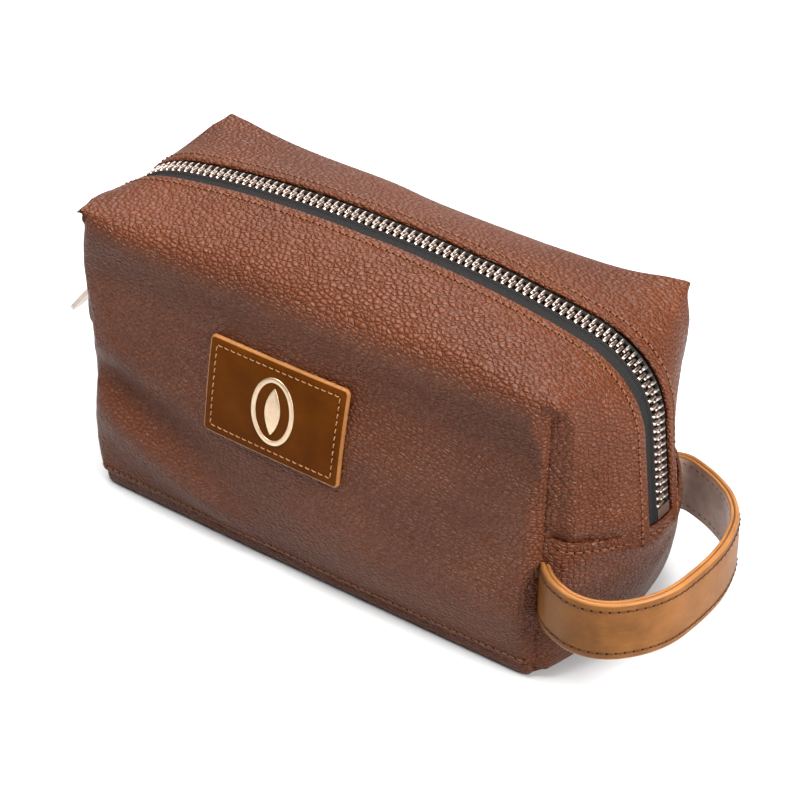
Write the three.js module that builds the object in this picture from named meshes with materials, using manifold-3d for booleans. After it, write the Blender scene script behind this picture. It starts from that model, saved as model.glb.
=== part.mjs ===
// Leather wash bag. A boxed body whose long zip runs over the top and half way down both
// ends, a carrying strap sewn to the corners of one end, and a badge sewn to the front.
// Millimetres. +Z is up, +X points at the strap's end, the front faces -Y, and the origin
// is the middle of the base.
import * as THREE from 'three';
import { mergeVertices } from 'three/addons/utils/BufferGeometryUtils.js';
import Module from 'manifold-3d';

const wasm = await Module();
wasm.setup();

// ---------------------------------------------------------------- driving dimensions
const CORNER_X = 110;            // half length between the sewn corners
const CORNER_Y = 48;             // half depth between the sewn corners
const EAR_Z = 129;               // height of the four top corners
const CROWN_Z = 142;             // height of the zip at mid length
const END_X = 132;               // half length at the middle of the bulging ends
const FOOT_X = 122;              // the same at the base
const FOOT_ROUND = 12;           // rounding of the base edge at the ends
const FOOT_CHAMFER = 3;          // and along front and rear
const BULGE_POWER = 1.8;         // shape of the bulge of ends and top
const FRONT_BULGE = 5;           // how far the front wall swells
const BELLY_POWER = 0.73;        // puts the widest place below mid height

const LEATHER = 1.6;             // panel thickness
const LINING = 0.8;              // lining thickness
const GAP = 0.3;                 // clearance between neighbouring layers

const ZIP_END_Z = 61;            // height of the zip's two bottom ends
const RUN_TOP = [126.5, 106];    // x, z where the straight end run of the zip starts to curve
const SLOT_HALF = 10;            // half width of the slot between the leather edges
const TAPE_NEAR = 4.2;           // tape from the tooth row ...
const TAPE_FAR = 14;             // ... to under the leather
const TAPE = 0.6;
const FACING_NEAR = 11;          // facing strip from the tape ...
const FACING_FAR = 44;           // ... to the corner of the top
const MOUTH_CUT_DEG = 20;        // slope that frees the lower ends of tape and facing
const MOUTH_CUT_LIFT = 0.8;

const TOOTH_PITCH = 3.3;
const TOOTH_REACH = 0.9;         // how far a tooth passes the centre line
const TOOTH_GAP = 0.6;           // gap between the rows, measured across the zip
const CHAIN_HALF = 3.9;          // half width of the closed tooth rows
const CHAIN_TOP = 0.6;           // depth of the teeth's outer face under the leather's surface
const CHAIN_THICK = 3.2;
const TEETH_START_LEFT = 84;     // height where the rows start, just above the parked slider
const TEETH_START_RIGHT = 67;    // and just above the bottom stop

const BASE_RIM = 4;              // height of the base panel's turned-up rim
const BOARD = 1.4;
const LINING_GAP = 0.4;          // between leather and lining
const SIDE_LINING_TOP = 110;
const SIDE_LINING_INSET = 3;     // short of the corner, clear of the end linings
const SIDE_LINING_DEPTH = 8;     // how far in from the wall the lining is looked for
const END_LINING_TOP = 59.5;
const END_LINING_START = CORNER_X - 1.7;

const STRAP_LOW = 31;
const STRAP_HIGH = 55;
const STRAP_OUTER = 1.8;
const STRAP_INNER = 1.4;

const PATCH_CENTRE = [-14, 76.8];
const PATCH_SIZE = [64.6, 40];
const PATCH_ROUND = 4;
const PATCH_THICK = 1.5;
const EMBLEM_RADII = [9, 13];
const EMBLEM_BAND = 2;
const EMBLEM_THICK = 0.9;
const LOZENGE = [3.5, 12.5];     // half width and half height of the emblem's centre

const SLIDER_LOW_Z = 65;
const SLIDER_LENGTH = 17;
const PULL_LENGTH = 41;
const PULL_LEAN_DEG = 38;        // rest angle of the pull tab, outward from straight down

const FAR = 400;                 // well outside the bag, for cutting blocks

// ---------------------------------------------------------------- materials
const leather = (color, roughness) => new THREE.MeshStandardMaterial({ color, roughness, metalness: 0 });
const metal = (color, roughness) => new THREE.MeshStandardMaterial({ color, roughness, metalness: 1 });
const BROWN = leather(0x5a3223, 0.55);
const TAN = leather(0x96623a, 0.45);
const PATCH_TAN = leather(0x6a4216, 0.5);
const SUEDE = leather(0x8c7366, 0.95);
const CLOTH = leather(0x6b5d4c, 0.95);
const BOARD_GREY = leather(0x8a8478, 0.9);
const TAPE_BLACK = leather(0x1d1b1b, 0.9);
const NICKEL = metal(0xd0bfb4, 0.3);

// ---------------------------------------------------------------- solids
const toManifold = (geometry) => {
  const plain = geometry.clone();
  plain.deleteAttribute('normal');
  plain.deleteAttribute('uv');
  const merged = mergeVertices(plain, 1e-4);
  return new wasm.Manifold(new wasm.Mesh({
    numProp: 3,
    vertProperties: new Float32Array(merged.attributes.position.array),
    triVerts: new Uint32Array(merged.index.array),
  }));
};

const toGeometry = (solid) => {
  const { vertProperties, triVerts } = solid.getMesh();
  const geometry = new THREE.BufferGeometry();
  geometry.setAttribute('position', new THREE.BufferAttribute(vertProperties, 3));
  geometry.setIndex(new THREE.BufferAttribute(triVerts, 1));
  geometry.computeVertexNormals();
  return geometry;
};

// A closed outline pushed along the axis that its two coordinates leave out, from low to high.
const BASES = {
  z: [[1, 0, 0], [0, 1, 0], [0, 0, 1]],
  y: [[1, 0, 0], [0, 0, 1], [0, -1, 0]],
  x: [[0, 1, 0], [0, 0, 1], [1, 0, 0]],
};
const prismGeometry = (shape, axis, low, high, curveSegments = 12) => {
  const basis = BASES[axis].map((v) => new THREE.Vector3(...v));
  const geometry = new THREE.ExtrudeGeometry(shape, {
    depth: high - low, bevelEnabled: false, curveSegments,
  });
  geometry.translate(0, 0, axis === 'y' ? -high : low);
  return geometry.applyMatrix4(new THREE.Matrix4().makeBasis(...basis));
};
const shapeOf = (points) => new THREE.Shape(points.map(([a, b]) => new THREE.Vector2(a, b)));
const prism = (points, axis, low, high) => toManifold(prismGeometry(shapeOf(points), axis, low, high));
const block = ([x0, y0, z0], [x1, y1, z1]) => {
  const geometry = new THREE.BoxGeometry(x1 - x0, y1 - y0, z1 - z0);
  return toManifold(geometry.translate((x0 + x1) / 2, (y0 + y1) / 2, (z0 + z1) / 2));
};

// Moves every edge of a counter-clockwise outline inwards (outwards when negative).
const insetOutline = (points, inset) => points.map((point, i) => {
  const before = points[(i + points.length - 1) % points.length];
  const after = points[(i + 1) % points.length];
  const normals = [[before, point], [point, after]].map(([a, b]) => {
    const length = Math.hypot(b[0] - a[0], b[1] - a[1]);
    return [-(b[1] - a[1]) / length, (b[0] - a[0]) / length];
  });
  const [m, n] = normals;
  const scale = inset / (1 + m[0] * n[0] + m[1] * n[1]);
  return [point[0] + (m[0] + n[0]) * scale, point[1] + (m[1] + n[1]) * scale];
});

// ---------------------------------------------------------------- the bag's form
const bulge = (y) => 1 - Math.abs(y / CORNER_Y) ** BULGE_POWER;
const range = (count, from, to) => (
  Array.from({ length: count + 1 }, (_, i) => from + ((to - from) * i) / count)
);
const mirrored = (points, axis) => points.map(([a, b]) => (axis === 0 ? [-a, b] : [a, -b])).reverse();

// Seen from above: bulging ends, a straight rear and a swelling front.
const planOutline = () => {
  const right = range(12, -CORNER_Y, CORNER_Y).map((y) => [CORNER_X + (END_X - CORNER_X) * bulge(y), y]);
  const front = range(12, -CORNER_X, CORNER_X).slice(1, -1).map((x) => (
    [x, -CORNER_Y - FRONT_BULGE * (1 - Math.abs(x / CORNER_X) ** 3)]
  ));
  return [...right, ...mirrored(right, 0), ...front];
};

// Seen from the front: the zip's line over the top and down both ends.
const archPoints = [
  RUN_TOP, [121.5, 117.5], [111, 127.5], [95, 133.8], [60, 139.2], [25, 141.6],
];
const archCurve = new THREE.SplineCurve(
  [...archPoints, [0, CROWN_Z], ...mirrored(archPoints, 0)].map(([x, z]) => new THREE.Vector2(x, z)),
);
const sideOutline = () => {
  const foot = range(4, -Math.PI / 2, 0).map((angle) => [
    FOOT_X - FOOT_ROUND + FOOT_ROUND * Math.cos(angle),
    FOOT_ROUND + FOOT_ROUND * Math.sin(angle),
  ]);
  const arch = archCurve.getSpacedPoints(40).map((p) => [p.x, p.y]);
  const right = [...foot, [END_X, ZIP_END_Z]];
  return [...right, ...arch, ...mirrored(right, 0)];
};

// Seen from the end: upright walls, the front one swelling, and a domed top.
const endOutline = () => {
  const top = range(14, CORNER_Y, -CORNER_Y).map((y) => [y, EAR_Z + (CROWN_Z - EAR_Z) * bulge(y)]);
  const front = range(8, EAR_Z, 0).slice(1, -1).map((z) => (
    [-CORNER_Y - FRONT_BULGE * Math.sin(Math.PI * (z / EAR_Z) ** BELLY_POWER), z]
  ));
  const foot = [[CORNER_Y - FOOT_CHAMFER, 0], [CORNER_Y, FOOT_CHAMFER]];
  return [[-foot[0][0], 0], ...foot, ...top, ...front, [-CORNER_Y, FOOT_CHAMFER]];
};

const formCache = new Map();
const form = (inset) => {
  if (!formCache.has(inset)) {
    const plan = prism(insetOutline(planOutline(), inset), 'z', -FAR, FAR);
    const side = prism(insetOutline(sideOutline(), inset), 'y', -FAR, FAR);
    const end = prism(insetOutline(endOutline(), inset), 'x', -FAR, FAR);
    formCache.set(inset, plan.intersect(side).intersect(end));
  }
  return formCache.get(inset);
};
const shell = (outer, inner) => form(outer).subtract(form(inner));

const LINING_OUT = LEATHER + LINING_GAP;
const LINING_IN = LINING_OUT + LINING;
const TAPE_OUT = LEATHER + GAP;
const TAPE_IN = TAPE_OUT + TAPE;
const FACING_OUT = TAPE_IN + GAP;
const FACING_IN = FACING_OUT + LINING;
const CORNER_CUT = CORNER_X - 1;       // the end panels start just short of the corner

// ---------------------------------------------------------------- leather and lining
// side is -1 for the front half and 1 for the rear half
const between = (a, b) => [Math.min(a, b), Math.max(a, b)];
const halfBlock = (side, nearY, x, lowZ) => {
  const [y0, y1] = between(side * nearY, side * FAR);
  return block([-x, y0, lowZ], [x, y1, FAR]);
};
const leatherPanel = (side) => {
  const wall = halfBlock(side, SLOT_HALF, CORNER_CUT, BASE_RIM + GAP);
  const wings = halfBlock(side, SLOT_HALF, FAR, ZIP_END_Z + GAP);
  return shell(0, LEATHER).intersect(wall.add(wings));
};
const endPiece = (side, outer, inner, startX, lowZ, highZ) => {
  const [x0, x1] = between(side * startX, side * FAR);
  return shell(outer, inner).intersect(block([x0, -FAR, lowZ], [x1, FAR, highZ]));
};
const basePanel = () => shell(0, LEATHER).intersect(block([-FAR, -FAR, -1], [FAR, FAR, BASE_RIM]));
const BOARD_LOW = LEATHER + GAP;
const BASE_LINING_LOW = BOARD_LOW + BOARD + GAP;
const WALL_LINING_LOW = BASE_LINING_LOW + LINING + GAP;
const flatLayer = (lowZ, highZ) => form(LINING_OUT).intersect(block([-FAR, -FAR, lowZ], [FAR, FAR, highZ]));
const wallLining = (side) => {
  const [y0, y1] = between(side * (CORNER_Y - SIDE_LINING_DEPTH), side * FAR);
  const reach = CORNER_CUT - SIDE_LINING_INSET;
  const cut = block([-reach, y0, WALL_LINING_LOW], [reach, y1, SIDE_LINING_TOP]);
  return shell(LINING_OUT, LINING_IN).intersect(cut);
};

// ---------------------------------------------------------------- zip
// A strip of the form beside the zip, its lower ends cut on a slope so that it can turn
// outwards about the zip's bottom ends.
const mouthStrip = (side, outer, inner, nearY, farY) => {
  const slope = Math.tan(THREE.MathUtils.degToRad(MOUTH_CUT_DEG));
  const lowAt = (y) => ZIP_END_Z + MOUTH_CUT_LIFT + y * slope;
  const outline = [[nearY, lowAt(nearY)], [farY, lowAt(farY)], [farY, FAR], [nearY, FAR]];
  const turned = side > 0 ? outline : mirrored(outline, 0);
  return shell(outer, inner).intersect(prism(turned, 'x', -FAR, FAR));
};

// The zip's line as a polyline fine enough for single teeth.
const zipLine = (() => {
  const [topX, topZ] = RUN_TOP;
  const run = new THREE.LineCurve(new THREE.Vector2(END_X, ZIP_END_Z), new THREE.Vector2(topX, topZ));
  const rest = new THREE.LineCurve(new THREE.Vector2(-topX, topZ), new THREE.Vector2(-END_X, ZIP_END_Z));
  const path = new THREE.CurvePath();
  path.add(run);
  path.add(archCurve);
  path.add(rest);
  return path;
})();
const zipLength = zipLine.getLength();
const RUN_SLOPE = (RUN_TOP[1] - ZIP_END_Z) / Math.hypot(END_X - RUN_TOP[0], RUN_TOP[1] - ZIP_END_Z);

const loft = (sections) => {
  const count = sections[0].length;
  const positions = sections.flat().flat();
  const index = [];
  const quad = (a, b, c, d) => index.push(a, b, c, a, c, d);
  for (let s = 0; s + 1 < sections.length; s += 1) {
    for (let k = 0; k < count; k += 1) {
      const next = (k + 1) % count;
      quad(s * count + k, s * count + next, (s + 1) * count + next, (s + 1) * count + k);
    }
  }
  const last = (sections.length - 1) * count;
  quad(3, 2, 1, 0);
  quad(last, last + 1, last + 2, last + 3);
  const geometry = new THREE.BufferGeometry();
  geometry.setAttribute('position', new THREE.BufferAttribute(new Float32Array(positions), 3));
  geometry.setIndex(index);
  geometry.computeVertexNormals();
  return geometry;
};

// One row of teeth on its bead. Both rows follow the same wave, so they mesh when closed.
const toothRow = (side) => {
  const startRight = (TEETH_START_RIGHT - ZIP_END_Z) / RUN_SLOPE;
  const startLeft = zipLength - (TEETH_START_LEFT - ZIP_END_Z) / RUN_SLOPE;
  const halves = Math.floor((startLeft - startRight) / (TOOTH_PITCH / 2));
  const sections = range(halves, 0, halves).map((i) => {
    const t = (startRight + (i * TOOTH_PITCH) / 2) / zipLength;
    const point = zipLine.getPointAt(t);
    const tangent = zipLine.getTangentAt(t);
    const inward = new THREE.Vector2(-tangent.y, tangent.x);
    const wave = i % 2 === 0 ? TOOTH_REACH : -TOOTH_REACH;
    const edges = [side * CHAIN_HALF, wave + (side * TOOTH_GAP) / 2];
    const at = (depth, y) => [point.x + inward.x * depth, y, point.y + inward.y * depth];
    const [y0, y1] = side > 0 ? [edges[1], edges[0]] : edges;
    const deep = CHAIN_TOP + CHAIN_THICK;
    return [at(CHAIN_TOP, y1), at(deep, y1), at(deep, y0), at(CHAIN_TOP, y0)];
  });
  return loft(sections);
};

// Places a piece made flat on the end run: local x is outwards, z runs up the zip.
const RUN_LEAN = Math.atan2(END_X - RUN_TOP[0], RUN_TOP[1] - ZIP_END_Z);
const runX = (z) => END_X - (z - ZIP_END_Z) * Math.tan(RUN_LEAN);
const onRun = (geometry, side, z) => {
  geometry.rotateY(-RUN_LEAN).translate(runX(z), 0, z);
  return side < 0 ? geometry.rotateZ(Math.PI) : geometry;
};
const boxAt = ([x0, x1], [y0, y1], [z0, z1]) => {
  const geometry = new THREE.BoxGeometry(x1 - x0, y1 - y0, z1 - z0);
  return geometry.translate((x0 + x1) / 2, (y0 + y1) / 2, (z0 + z1) / 2);
};
const chainDepth = [-CHAIN_TOP - CHAIN_THICK, -CHAIN_TOP];
const BOTTOM_STOP = { half: 4, run: [0.4, 5] };
const TOP_STOP = { inner: 1, outer: 3.6, run: [0.5, 3] };
const bottomStop = () => onRun(
  boxAt(chainDepth, [-BOTTOM_STOP.half, BOTTOM_STOP.half], BOTTOM_STOP.run), 1, ZIP_END_Z,
);
const topStop = (side) => onRun(
  boxAt(chainDepth, between(side * TOP_STOP.inner, side * TOP_STOP.outer), TOP_STOP.run), -1, ZIP_END_Z,
);

// Slider: two wings joined by the wedge that parts the teeth, with lips along both edges.
const WING_OUT = 1.4;
const WING_IN = 1.2;
const CHANNEL = CHAIN_THICK + 2 * GAP;
const LIP = 1.1;
const LIP_WALL = 1;
const NOSE_HALF = 6.6;
const TAIL_HALF = 5.6;
const SHOULDER = SLIDER_LENGTH * 0.45;
const MOUTH_HALF = 4.4;          // opening for the teeth at both ends
const SLIDER_WEDGE = [[0, 0.6], [1.4, 2.6], [0, 6], [-1.4, 2.6]];
const JOIN = 0.2;                // overlap that joins lips and wedge to the wings
const sliderBody = () => {
  const top = -CHAIN_TOP + GAP;
  const low = top - CHANNEL;
  const plate = (x0, x1, inset) => {
    const outline = [
      [-NOSE_HALF + inset, 0], [NOSE_HALF - inset, 0], [NOSE_HALF - inset, SHOULDER],
      [TAIL_HALF - inset, SLIDER_LENGTH], [-TAIL_HALF + inset, SLIDER_LENGTH],
      [-NOSE_HALF + inset, SHOULDER],
    ];
    return prism(outline, 'x', x0, x1);
  };
  const outer = plate(top, top + WING_OUT, 0);
  const inner = plate(low - WING_IN, low, 0);
  const rim = (x0, x1) => plate(x0, x1, 0).subtract(plate(x0 - 1, x1 + 1, LIP_WALL));
  const lips = rim(top - LIP, top + JOIN).add(rim(low - JOIN, low + LIP));
  const mouths = block([low, -MOUTH_HALF, -1], [top, MOUTH_HALF, SLIDER_LENGTH + 1]);
  const openLips = lips.subtract(mouths);
  const wedge = prism(SLIDER_WEDGE, 'x', low - JOIN, top + JOIN);
  return onRun(toGeometry(outer.add(inner).add(openLips).add(wedge)), -1, SLIDER_LOW_Z);
};

// Bail: a bridge along the slider, under which the pull tab's cross bar turns.
const BAIL_LOW = 3.5;
const BAIL_HIGH = 14;
const BAIL_RISE = 4.6;
const BAIL_WALL = 1.6;
const BAIL_FOOT = BAIL_WALL * 1.2;
const BAIL_SLANT = 1;
const BAIL_HALF = 1;             // half width
const WING_FACE = -CHAIN_TOP + GAP + WING_OUT + GAP;
const sliderBail = () => {
  const outside = WING_FACE + BAIL_RISE;
  const inside = outside - BAIL_WALL;
  const shape = shapeOf([
    [WING_FACE, BAIL_LOW], [outside, BAIL_LOW + BAIL_SLANT],
    [outside, BAIL_HIGH - BAIL_SLANT], [WING_FACE, BAIL_HIGH],
    [WING_FACE, BAIL_HIGH - BAIL_FOOT], [inside, BAIL_HIGH - BAIL_WALL - BAIL_SLANT],
    [inside, BAIL_LOW + BAIL_WALL + BAIL_SLANT], [WING_FACE, BAIL_LOW + BAIL_FOOT],
  ]);
  return onRun(prismGeometry(shape, 'y', -BAIL_HALF, BAIL_HALF), -1, SLIDER_LOW_Z);
};

// Pull tab: hangs from its cross bar, leaning outwards.
const pivotUp = (BAIL_LOW + BAIL_HIGH) / 2;
const pivotOut = WING_FACE + (BAIL_RISE - BAIL_WALL) / 2;
const pullPivot = new THREE.Vector3(pivotOut, 0, pivotUp)
  .applyAxisAngle(new THREE.Vector3(0, 1, 0), -RUN_LEAN)
  .add(new THREE.Vector3(runX(SLIDER_LOW_Z), 0, SLIDER_LOW_Z))
  .multiply(new THREE.Vector3(-1, 1, 1));
const PULL_BAR = 1.7;
const PULL_THICK = 1.9;
const PULL_EYE = 8;              // length of the eye that takes the bail
const PULL_EYE_HALF = 2.3;
const PULL_HALF = { tip: 3, low: 5, eye: 5.5, bar: 5 };
const PULL_TIP = 4;              // length of the narrowing tip
const pullTab = () => {
  const half = PULL_BAR / 2;
  const right = [
    [PULL_HALF.tip, -PULL_LENGTH], [PULL_HALF.low, PULL_TIP - PULL_LENGTH],
    [PULL_HALF.eye, -half - PULL_EYE], [PULL_HALF.bar, half],
  ];
  const eyeRight = [[PULL_EYE_HALF, -half - PULL_EYE], [PULL_EYE_HALF, -half]];
  const eye = [...eyeRight, ...mirrored(eyeRight, 0)];
  const plate = prism([...right, ...mirrored(right, 0)], 'x', -PULL_THICK / 2, PULL_THICK / 2);
  const tab = toGeometry(plate.subtract(prism(eye, 'x', -PULL_THICK, PULL_THICK)));
  tab.rotateY(THREE.MathUtils.degToRad(PULL_LEAN_DEG));
  return tab.translate(pullPivot.x, 0, pullPivot.z);
};

// ---------------------------------------------------------------- strap and badge
const strapCurve = new THREE.SplineCurve([
  [110.8, -52.8], [119, -54.4], [131, -54.6], [142, -50], [151.5, -35], [155.6, -16],
  [155.8, 0], [153.5, 13], [147, 27], [137, 38.5], [127, 46.5], [118, 50.6], [110.8, 51],
].map(([x, y]) => new THREE.Vector2(x, y)));
const strapLayer = (from, to) => {
  const steps = 28;
  const offset = (distance) => range(steps, 0, 1).map((t) => {
    const point = strapCurve.getPointAt(t);
    const tangent = strapCurve.getTangentAt(t);
    return [point.x + tangent.y * distance, point.y - tangent.x * distance];
  });
  const outline = [...offset(to), ...offset(from).reverse()];
  return prismGeometry(shapeOf(outline), 'z', STRAP_LOW, STRAP_HIGH);
};

const roundedRect = ([cx, cz], [width, height], radius) => {
  const corners = [[1, -1, -90], [1, 1, 0], [-1, 1, 90], [-1, -1, 180]];
  return corners.flatMap(([sx, sz, startDeg]) => range(4, startDeg, startDeg + 90).map((deg) => {
    const angle = THREE.MathUtils.degToRad(deg);
    const x = cx + sx * (width / 2 - radius) + radius * Math.cos(angle);
    return [x, cz + sz * (height / 2 - radius) + radius * Math.sin(angle)];
  }));
};
const PATCH_OUT = GAP + PATCH_THICK;
const EMBLEM_OUT = PATCH_OUT + GAP + EMBLEM_THICK;
const patch = () => {
  const cut = prism(roundedRect(PATCH_CENTRE, PATCH_SIZE, PATCH_ROUND), 'y', -FAR, 0);
  return shell(-PATCH_OUT, -GAP).intersect(cut);
};
const ellipse = ([rx, rz]) => range(27, 0, (2 * Math.PI * 27) / 28).map((angle) => (
  [PATCH_CENTRE[0] + rx * Math.cos(angle), PATCH_CENTRE[1] + rz * Math.sin(angle)]
));
const emblem = () => {
  const [rx, rz] = EMBLEM_RADII;
  const ring = prism(ellipse([rx, rz]), 'y', -FAR, 0)
    .subtract(prism(ellipse([rx - EMBLEM_BAND, rz - EMBLEM_BAND]), 'y', -FAR - 1, 1));
  const [cx, cz] = PATCH_CENTRE;
  const [wide, high] = LOZENGE;
  const lozenge = prism([[cx - wide, cz], [cx, cz - high], [cx + wide, cz], [cx, cz + high]], 'y', -FAR, 0);
  return shell(-EMBLEM_OUT, -PATCH_OUT - GAP).intersect(ring.add(lozenge));
};

// ---------------------------------------------------------------- assembly
const bag = new THREE.Group();
const addTo = (group, name, geometry, material) => {
  const mesh = new THREE.Mesh(geometry, material);
  mesh.name = name;
  group.add(mesh);
};
const SIDES = { front: -1, rear: 1 };
const ENDS = { left: -1, right: 1 };

for (const [name, side] of Object.entries(SIDES)) {
  addTo(bag, `${name}_leather_panel`, toGeometry(leatherPanel(side)), BROWN);
  addTo(bag, `${name}_lining`, toGeometry(wallLining(side)), CLOTH);
  addTo(bag, `${name}_top_stop`, topStop(side), NICKEL);
}
for (const [name, side] of Object.entries(ENDS)) {
  const panel = endPiece(side, 0, LEATHER, CORNER_CUT + GAP, BASE_RIM + GAP, ZIP_END_Z);
  const lining = endPiece(side, LINING_OUT, LINING_IN, END_LINING_START, WALL_LINING_LOW, END_LINING_TOP);
  addTo(bag, `${name}_end_panel`, toGeometry(panel), BROWN);
  addTo(bag, `${name}_end_lining`, toGeometry(lining), CLOTH);
}
addTo(bag, 'base_leather_panel', toGeometry(basePanel()), BROWN);
addTo(bag, 'base_board', toGeometry(flatLayer(BOARD_LOW, BOARD_LOW + BOARD)), BOARD_GREY);
addTo(bag, 'base_lining', toGeometry(flatLayer(BASE_LINING_LOW, BASE_LINING_LOW + LINING)), CLOTH);
addTo(bag, 'badge_patch', toGeometry(patch()), PATCH_TAN);
addTo(bag, 'badge_emblem', toGeometry(emblem()), NICKEL);
addTo(bag, 'zip_bottom_stop', bottomStop(), NICKEL);

for (const [name, side] of Object.entries(SIDES)) {
  const mouth = new THREE.Group();
  const tape = mouthStrip(side, TAPE_OUT, TAPE_IN, TAPE_NEAR, TAPE_FAR);
  const facing = mouthStrip(side, FACING_OUT, FACING_IN, FACING_NEAR, FACING_FAR);
  addTo(mouth, `${name}_zip_tape`, toGeometry(tape), TAPE_BLACK);
  addTo(mouth, `${name}_zip_teeth`, toothRow(side), NICKEL);
  addTo(mouth, `${name}_mouth_facing`, toGeometry(facing), CLOTH);
  bag.add(mouth);
}

const slider = new THREE.Group();
addTo(slider, 'zip_slider', sliderBody(), NICKEL);
addTo(slider, 'slider_bail', sliderBail(), NICKEL);
addTo(slider, 'pull_tab', pullTab(), NICKEL);
bag.add(slider);

const handle = new THREE.Group();
addTo(handle, 'handle_outer_strap', strapLayer(GAP / 2, GAP / 2 + STRAP_OUTER), TAN);
addTo(handle, 'handle_inner_strap', strapLayer(-GAP / 2 - STRAP_INNER, -GAP / 2), SUEDE);
bag.add(handle);

export default bag;
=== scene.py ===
import math

import bpy
import numpy as np
from mathutils import Matrix, Vector


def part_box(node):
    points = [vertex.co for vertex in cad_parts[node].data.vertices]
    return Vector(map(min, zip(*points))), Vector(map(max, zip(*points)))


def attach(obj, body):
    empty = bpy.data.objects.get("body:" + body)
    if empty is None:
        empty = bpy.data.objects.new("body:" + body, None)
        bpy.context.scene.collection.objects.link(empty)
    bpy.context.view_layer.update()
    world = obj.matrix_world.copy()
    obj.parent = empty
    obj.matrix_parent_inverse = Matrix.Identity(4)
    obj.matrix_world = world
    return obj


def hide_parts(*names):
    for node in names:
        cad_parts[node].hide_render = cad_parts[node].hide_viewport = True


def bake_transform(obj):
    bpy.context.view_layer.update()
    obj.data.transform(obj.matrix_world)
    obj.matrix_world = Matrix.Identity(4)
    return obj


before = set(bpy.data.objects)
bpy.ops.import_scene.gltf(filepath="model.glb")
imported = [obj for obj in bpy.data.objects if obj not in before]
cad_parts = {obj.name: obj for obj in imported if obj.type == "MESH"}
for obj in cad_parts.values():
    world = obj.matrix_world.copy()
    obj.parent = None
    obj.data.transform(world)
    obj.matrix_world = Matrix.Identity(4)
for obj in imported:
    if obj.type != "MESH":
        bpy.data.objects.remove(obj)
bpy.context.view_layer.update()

# Leather wash bag. All shapes below are worked out in millimetres and written in metres.
# +X runs to the strap's end, -Y to the front with the badge, +Z up.
MM = 0.001


# ------------------------------------------------------------------ sizes from the frame
def cad(node, corner, axis):
    """One coordinate of a CAD node's box, in millimetres."""
    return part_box(node)[corner][axis] / MM


END_X = cad("right_end_panel", 1, 0)
CORNER_Y = cad("rear_leather_panel", 1, 1)
CROWN_Z = cad("front_leather_panel", 1, 2)
SEAM_Z = cad("right_end_panel", 1, 2)
STRAP_LOW = cad("handle_outer_strap", 0, 2)
STRAP_HIGH = cad("handle_outer_strap", 1, 2)
SLOT_HALF = cad("rear_leather_panel", 0, 1)
CORNER_X = cad("right_end_panel", 0, 0) + 0.7    # just outside the end panel's inner edge
EAR_Z = CROWN_Z - 13             # the top's corners, below its crown
BULGE_POWER = 1.8                # shape of the bulge of top and ends
LEATHER_THICK = 1.6
HEM_FOLD = 1.0                   # extra thickness where the hem is folded under
SMALLEST = 1e-12                 # keeps a zero vector from dividing by zero
SIDE_NAME = {-1: "front", 1: "rear"}
END_NAME = {-1: "left", 1: "right"}
HEM_SHIFT = {-1: 2.0, 1: -2.6}   # the front hem stands back from the zip, the rear one lies close


# ------------------------------------------------------------------ small tools
def smoothstep(low, high, value):
    """0 up to low, 1 from high, with a soft change between."""
    t = np.clip((np.asarray(value, float) - low) / (high - low), 0, 1)
    return t * t * (3 - 2 * t)


def lattice(p):
    """A repeatable random number from 0 to 1 for each whole-number point."""
    h = (p[:, 0] * 73856093) ^ (p[:, 1] * 19349663) ^ (p[:, 2] * 83492791)
    h = (h ^ (h >> 13)) * 1274126177
    return ((h ^ (h >> 16)) & 0xFFFF) / 65535.0


def noise(points, size, seed=0):
    """Smooth noise from -1 to 1. size is the wavelength in millimetres, one number or three."""
    p = np.asarray(points, float) / np.asarray(size, float) + seed * 17.3
    cell = np.floor(p).astype(np.int64)
    f = p - cell
    f = f * f * (3 - 2 * f)
    total = np.zeros(len(p))
    for corner in range(8):
        step = np.array([corner & 1, corner >> 1 & 1, corner >> 2 & 1])
        weight = np.prod(np.where(step, f, 1 - f), axis=1)
        total += weight * lattice(cell + step)
    return 2 * total - 1


def catmull(points, steps=24):
    """A smooth curve through the points, sampled finely."""
    pts = np.asarray(points, float)
    padded = np.vstack([pts[0], pts, pts[-1]])
    t = np.linspace(0, 1, steps, endpoint=False)[:, None]
    parts = []
    for a, b, c, d in zip(padded, padded[1:], padded[2:], padded[3:]):
        parts.append(0.5 * (2 * b + (c - a) * t + (2 * a - 5 * b + 4 * c - d) * t**2
                            + (3 * b - a - 3 * c + d) * t**3))
    return np.vstack([*parts, pts[-1:]])


def hump(value, centre, width):
    """A smooth hill of height 1 at the centre."""
    return np.exp(-(((value - centre) / width) ** 2))


def arc_length(points):
    """Distance along a polyline at each of its points."""
    return np.concatenate([[0], np.cumsum(np.linalg.norm(np.diff(points, axis=0), axis=1))])


def along(points, distance):
    """Points at these distances along a polyline."""
    length = arc_length(points)
    return np.stack([np.interp(distance, length, points[:, k]) for k in range(points.shape[1])], axis=1)


def unit(vectors):
    """The vectors at length 1."""
    return vectors / np.maximum(np.linalg.norm(vectors, axis=-1, keepdims=True), SMALLEST)


def vertex_normals(verts, faces):
    """Normals at the vertices of a mesh of quads."""
    quads = verts[faces]
    face_normal = np.cross(quads[:, 2] - quads[:, 0], quads[:, 3] - quads[:, 1])
    normals = np.zeros_like(verts)
    for k in range(4):
        np.add.at(normals, faces[:, k], face_normal)
    return unit(normals)


def numbered(grid):
    """Vertices of a grid of points, and their numbers in the same layout."""
    return grid.reshape(-1, 3), np.arange(grid.shape[0] * grid.shape[1]).reshape(grid.shape[:2])


def grid_faces(index):
    """Quads of a grid of vertex numbers."""
    a, b, c, d = index[:-1, :-1], index[1:, :-1], index[1:, 1:], index[:-1, 1:]
    return np.stack([a, b, c, d], axis=-1).reshape(-1, 4)


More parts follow.
